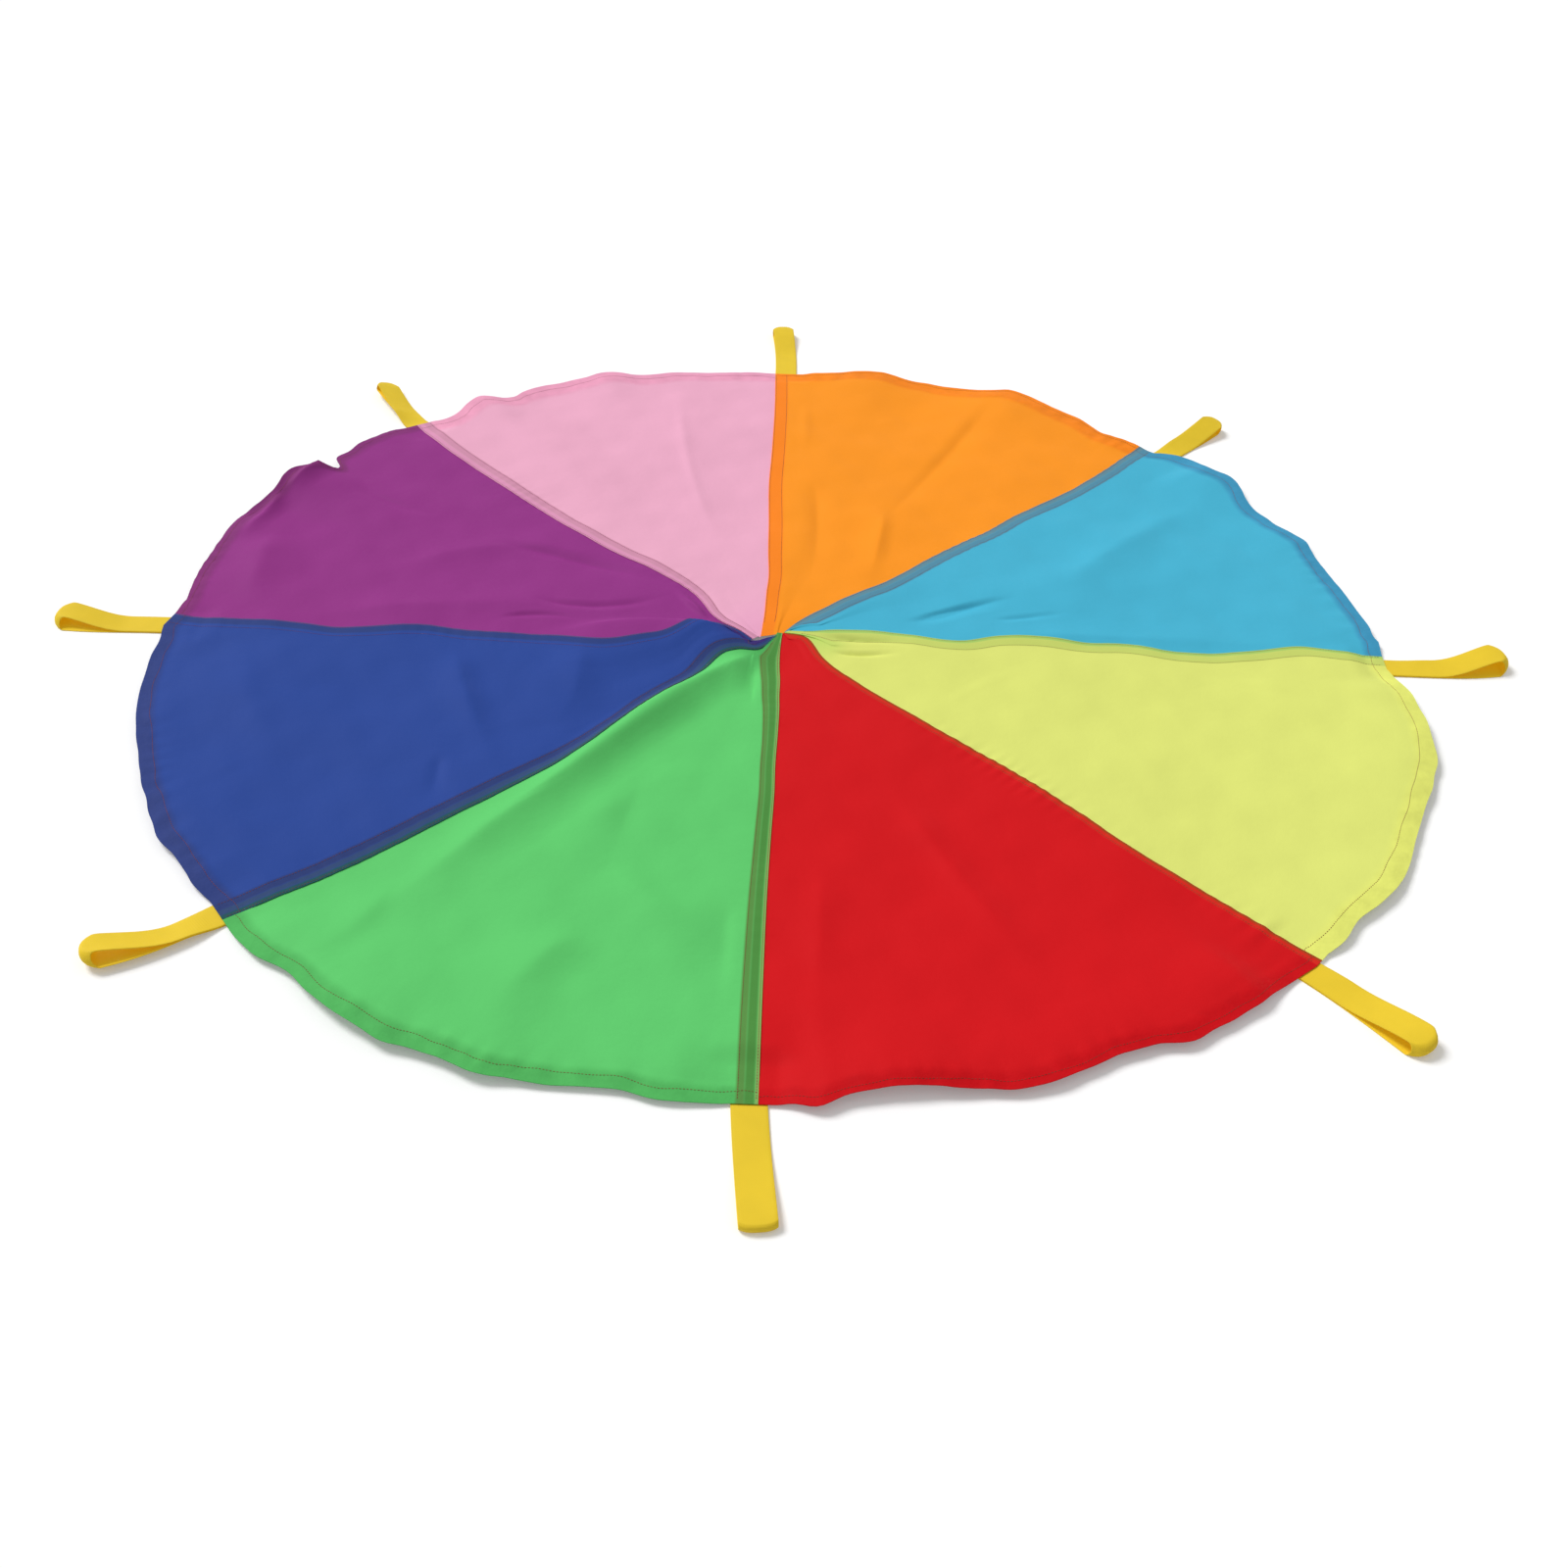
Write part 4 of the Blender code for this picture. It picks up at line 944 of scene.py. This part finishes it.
def loop_path(seam):
    """Middle line of a strip, in the distance out from the rim and the height: along the floor,
    round the bight as half a circle and back down over a smooth step."""
    length = HANDLE_LENGTH * HANDLE_LENGTH_SHARES[seam]
    radius = (HANDLE_BIGHTS[seam] - WEBBING) / 2
    bight = length - radius - WEBBING / 2
    low = WEBBING / 2
    high = low + WEBBING + WEBBING_GAP
    tail = np.linspace(-TAIL_LENGTH, 0, TAIL_STATIONS, endpoint=False)
    part = np.linspace(0, 1, PLY_STATIONS, endpoint=False)
    turn = np.linspace(-math.pi / 2, math.pi / 2, BIGHT_STATIONS)
    climb = smooth((part - LOOP_FLAT_SHARE) / (1 - LOOP_FLAT_SHARE))
    upper = high + (low + 2 * radius - high) * climb
    flat = bight * part
    out = np.concatenate([tail, flat, bight + radius * np.cos(turn), flat[::-1], tail[::-1]])
    height = np.concatenate([
        np.full(TAIL_STATIONS + PLY_STATIONS, low), low + radius + radius * np.sin(turn),
        upper[::-1], np.full(TAIL_STATIONS, high),
    ])
    return out, height


def strip_piece(seam, name):
    """A strip of webbing: a flat profile with rounded edges, carried along the loop's path, which
    leans to one side as a power of the distance and rolls about its own length, and whose upper ply
    lies a little to one side of the lower. The bight's corners fall back as the cube of the distance
    from its middle. The cut coordinates are the distances across the strip and along it."""
    out, height = loop_path(seam)
    length = HANDLE_LENGTH * HANDLE_LENGTH_SHARES[seam]
    lean, bend = HANDLE_LEAN_SHARES[seam], HANDLE_BENDS[seam]
    reach = np.maximum(out, 0) / length
    skew = HANDLE_SKEWS[seam] * (height / height.max() - 0.5) * smooth(reach / SKEW_SHARE)
    drift = lean * length * reach ** bend + skew
    swing = lean * bend * reach ** (bend - 1)
    roll = math.radians(HANDLE_ROLL_DEGREES[seam]) * smooth(reach / ROLL_SHARE)
    angle = seam * GORE_ANGLE
    ahead = np.append(outward(angle), 0)
    side = np.append(sideways(angle), 0)
    rim = np.append(handle_centre(seam), 0)
    top = np.array([0, 0, 1])
    scale = np.hypot(1, swing)[:, None]
    forward = (ahead + swing[:, None] * side) / scale
    level = (side - swing[:, None] * ahead) / scale
    across = level * np.cos(roll)[:, None] + top * np.sin(roll)[:, None]
    up = top * np.cos(roll)[:, None] - level * np.sin(roll)[:, None]
    slope = np.stack([np.gradient(out), np.gradient(height)], -1)
    slope = slope / np.linalg.norm(slope, axis=-1, keepdims=True)
    normal = slope[:, :1] * up - slope[:, 1:] * forward
    lift = WEBBING_WIDTH / 2 * np.abs(np.sin(roll))
    middle = rim + out[:, None] * ahead + drift[:, None] * side + height[:, None] * up + lift[:, None] * top
    turn = np.linspace(0, math.pi, STRIP_PROFILE)
    edge = WEBBING_WIDTH / 2 - WEBBING / 2 + WEBBING / 2 * np.sin(turn)
    tall = WEBBING / 2 * np.cos(turn)
    flat = np.linspace(-0.8, 0.8, STRIP_PROFILE) * WEBBING_WIDTH / 2
    u = np.concatenate([edge, flat[::-1], -edge, flat])
    face = np.full(STRIP_PROFILE, WEBBING / 2)
    v = np.concatenate([tall, -face, -tall, face])
    count = len(u)
    points = middle[:, None] + u[None, :, None] * across[:, None] + v[None, :, None] * normal[:, None]
    at_end = np.exp(-((length - out) / CORNER_REACH) ** 2)[:, None]
    fall = HANDLE_CORNERS[seam] * at_end * np.abs(2 * u[None, :] / WEBBING_WIDTH) ** 3
    points = points - fall[..., None] * forward[:, None]
    along = np.concatenate([[0], np.cumsum(np.linalg.norm(np.diff(middle, axis=0), axis=1))])
    size = (len(along), count)
    cut = np.stack([np.broadcast_to(u, size), np.broadcast_to(along[:, None], size)], -1)
    grid = np.arange(len(along) * count).reshape(size)
    ring = np.roll(grid, -1, axis=1)
    quads = np.stack([grid[:-1], ring[:-1], ring[1:], grid[1:]], -1).reshape(-1, 4)
    half = np.arange(count // 2 - 1)
    cap = np.stack([half, count - 1 - half, count - 2 - half, half + 1], 1)
    quads = np.concatenate([quads, cap, cap[:, ::-1] + grid[-1, 0]])
    # 1 on the inner faces of the loop, where the painted glow is stronger
    inner = np.broadcast_to(np.clip(v / (WEBBING / 2), 0, 1), size)
    return make_mesh(name, points.reshape(-1, 3), quads, cut.reshape(-1, 2), inner=inner.ravel())


webbing, webbing_shader, webbing_root = new_material("yellow webbing", 0.60, 0.12, 0.0)
cut = webbing_root.node("ShaderNodeUVMap", {"uv_map": "cut"}, {})
across = webbing_root.node("ShaderNodeSeparateXYZ", {}, {0: cut}, 0)
along = webbing_root.node("ShaderNodeSeparateXYZ", {}, {0: cut}, 1)
warp = (across * 4200.0).math("SINE")
weft = (along * 2600.0).math("SINE")
selvedge = across.math("ABSOLUTE").fade(0.0140, 0.0152)
patch = cut.noise(30.0, 3.0)
tone = 0.93 + 0.12 * patch + 0.03 * warp * weft - 0.04 * selvedge
webbing_colour = tone.shade(screen(229, 197, 52)[:3])
webbing_root.tree.links.new(webbing_colour.socket, webbing_shader.inputs["Base Color"])
# Painted light: the webbing glows faintly, more on the loop's inner faces, in place of light that passes
# through it and bounces inside the loop
inside = webbing_root.node("ShaderNodeAttribute", {"attribute_name": "inner"}, {}, 2)
painted_glow = inside.mix(screen(64, 52, 10), screen(105, 84, 14))
webbing_root.tree.links.new(painted_glow.socket, webbing_shader.inputs["Emission Color"])
webbing_shader.inputs["Emission Strength"].default_value = 1.0
relief = warp * weft * 0.00006 + weft * 0.00003 + selvedge * 0.0001
bump = webbing_root.node("ShaderNodeBump", {}, {"Strength": 0.6, "Distance": 1.0, "Height": relief})
webbing_root.tree.links.new(bump.socket, webbing_shader.inputs["Normal"])

for index, (handle_name, half, *_) in enumerate(SEAMS):
    strip = strip_piece(index, f"hand_loop_{handle_name}")
    strip.data.materials.append(webbing)
    ahead = outward(index * GORE_ANGLE)
    flex = handle_centre(index) + ahead * FLEX_REACH
    end = flex + ahead * FLEX_REACH * 1.5
    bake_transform(strip)
    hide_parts(f"handle_{handle_name}_sewn_ends", f"handle_{handle_name}_loop")

# Floor and light: a plain white floor under a wide, soft key light from the back left and an even
# dome. For the camera the floor and the space behind it are white, and the floor keeps its shadows.
FLOOR_RADIUS = 9.0
FLOOR_GREY = 0.86
FLOOR_GLOW = 0.19
KEY_FROM = (-0.55, 0.40, 0.73)
KEY_STRENGTH = 2.5
KEY_SPREAD_DEGREES = 25
DOME_STRENGTH = 0.40


def seen_directly(root):
    """1 for rays from the camera, a mirror or glass, which see a white floor and white space."""
    camera, mirror, glass = (
        root.node("ShaderNodeLightPath", {}, {}, name)
        for name in ("Is Camera Ray", "Is Glossy Ray", "Is Transmission Ray")
    )
    return root.math("MAXIMUM", root.math("MAXIMUM", camera, mirror), glass)


def finish_tree(tree, kind, surface):
    """Replace a tree's output by one that takes the given surface."""
    output = tree.nodes.new(kind)
    tree.links.new(surface.socket, output.inputs["Surface"])


bpy.ops.mesh.primitive_circle_add(vertices=96, radius=FLOOR_RADIUS, fill_type="NGON")
floor = bpy.context.object
floor.name = "floor"
floor_paint = bpy.data.materials.new("white floor")
floor_paint.use_nodes = True
floor_paint.node_tree.nodes.clear()
root = Wire(floor_paint.node_tree)
matt = root.node("ShaderNodeBsdfDiffuse", {}, {"Color": (FLOOR_GREY, FLOOR_GREY, FLOOR_GREY, 1)})
glow_strength = seen_directly(root) * FLOOR_GLOW
glow = root.node("ShaderNodeEmission", {}, {"Color": (1, 1, 1, 1), "Strength": glow_strength})
finish_tree(root.tree, "ShaderNodeOutputMaterial", root.node("ShaderNodeAddShader", {}, {0: matt, 1: glow}))
floor.data.materials.append(floor_paint)

world = bpy.data.worlds.new("dome")
bpy.context.scene.world = world
world.use_nodes = True
world.node_tree.nodes.clear()
root = Wire(world.node_tree)
strength = DOME_STRENGTH + (1 - DOME_STRENGTH) * seen_directly(root)
dome = root.node("ShaderNodeBackground", {}, {"Color": (1, 1, 1, 1), "Strength": strength})
finish_tree(root.tree, "ShaderNodeOutputWorld", dome)

key = bpy.data.objects.new("key light", bpy.data.lights.new("key light", "SUN"))
key.data.energy = KEY_STRENGTH
key.data.angle = math.radians(KEY_SPREAD_DEGREES)
bpy.context.scene.collection.objects.link(key)
key.rotation_mode = "QUATERNION"
key.rotation_quaternion = Vector(KEY_FROM).to_track_quat("Z", "Y")

bpy.context.scene.view_settings.view_transform = "Standard"
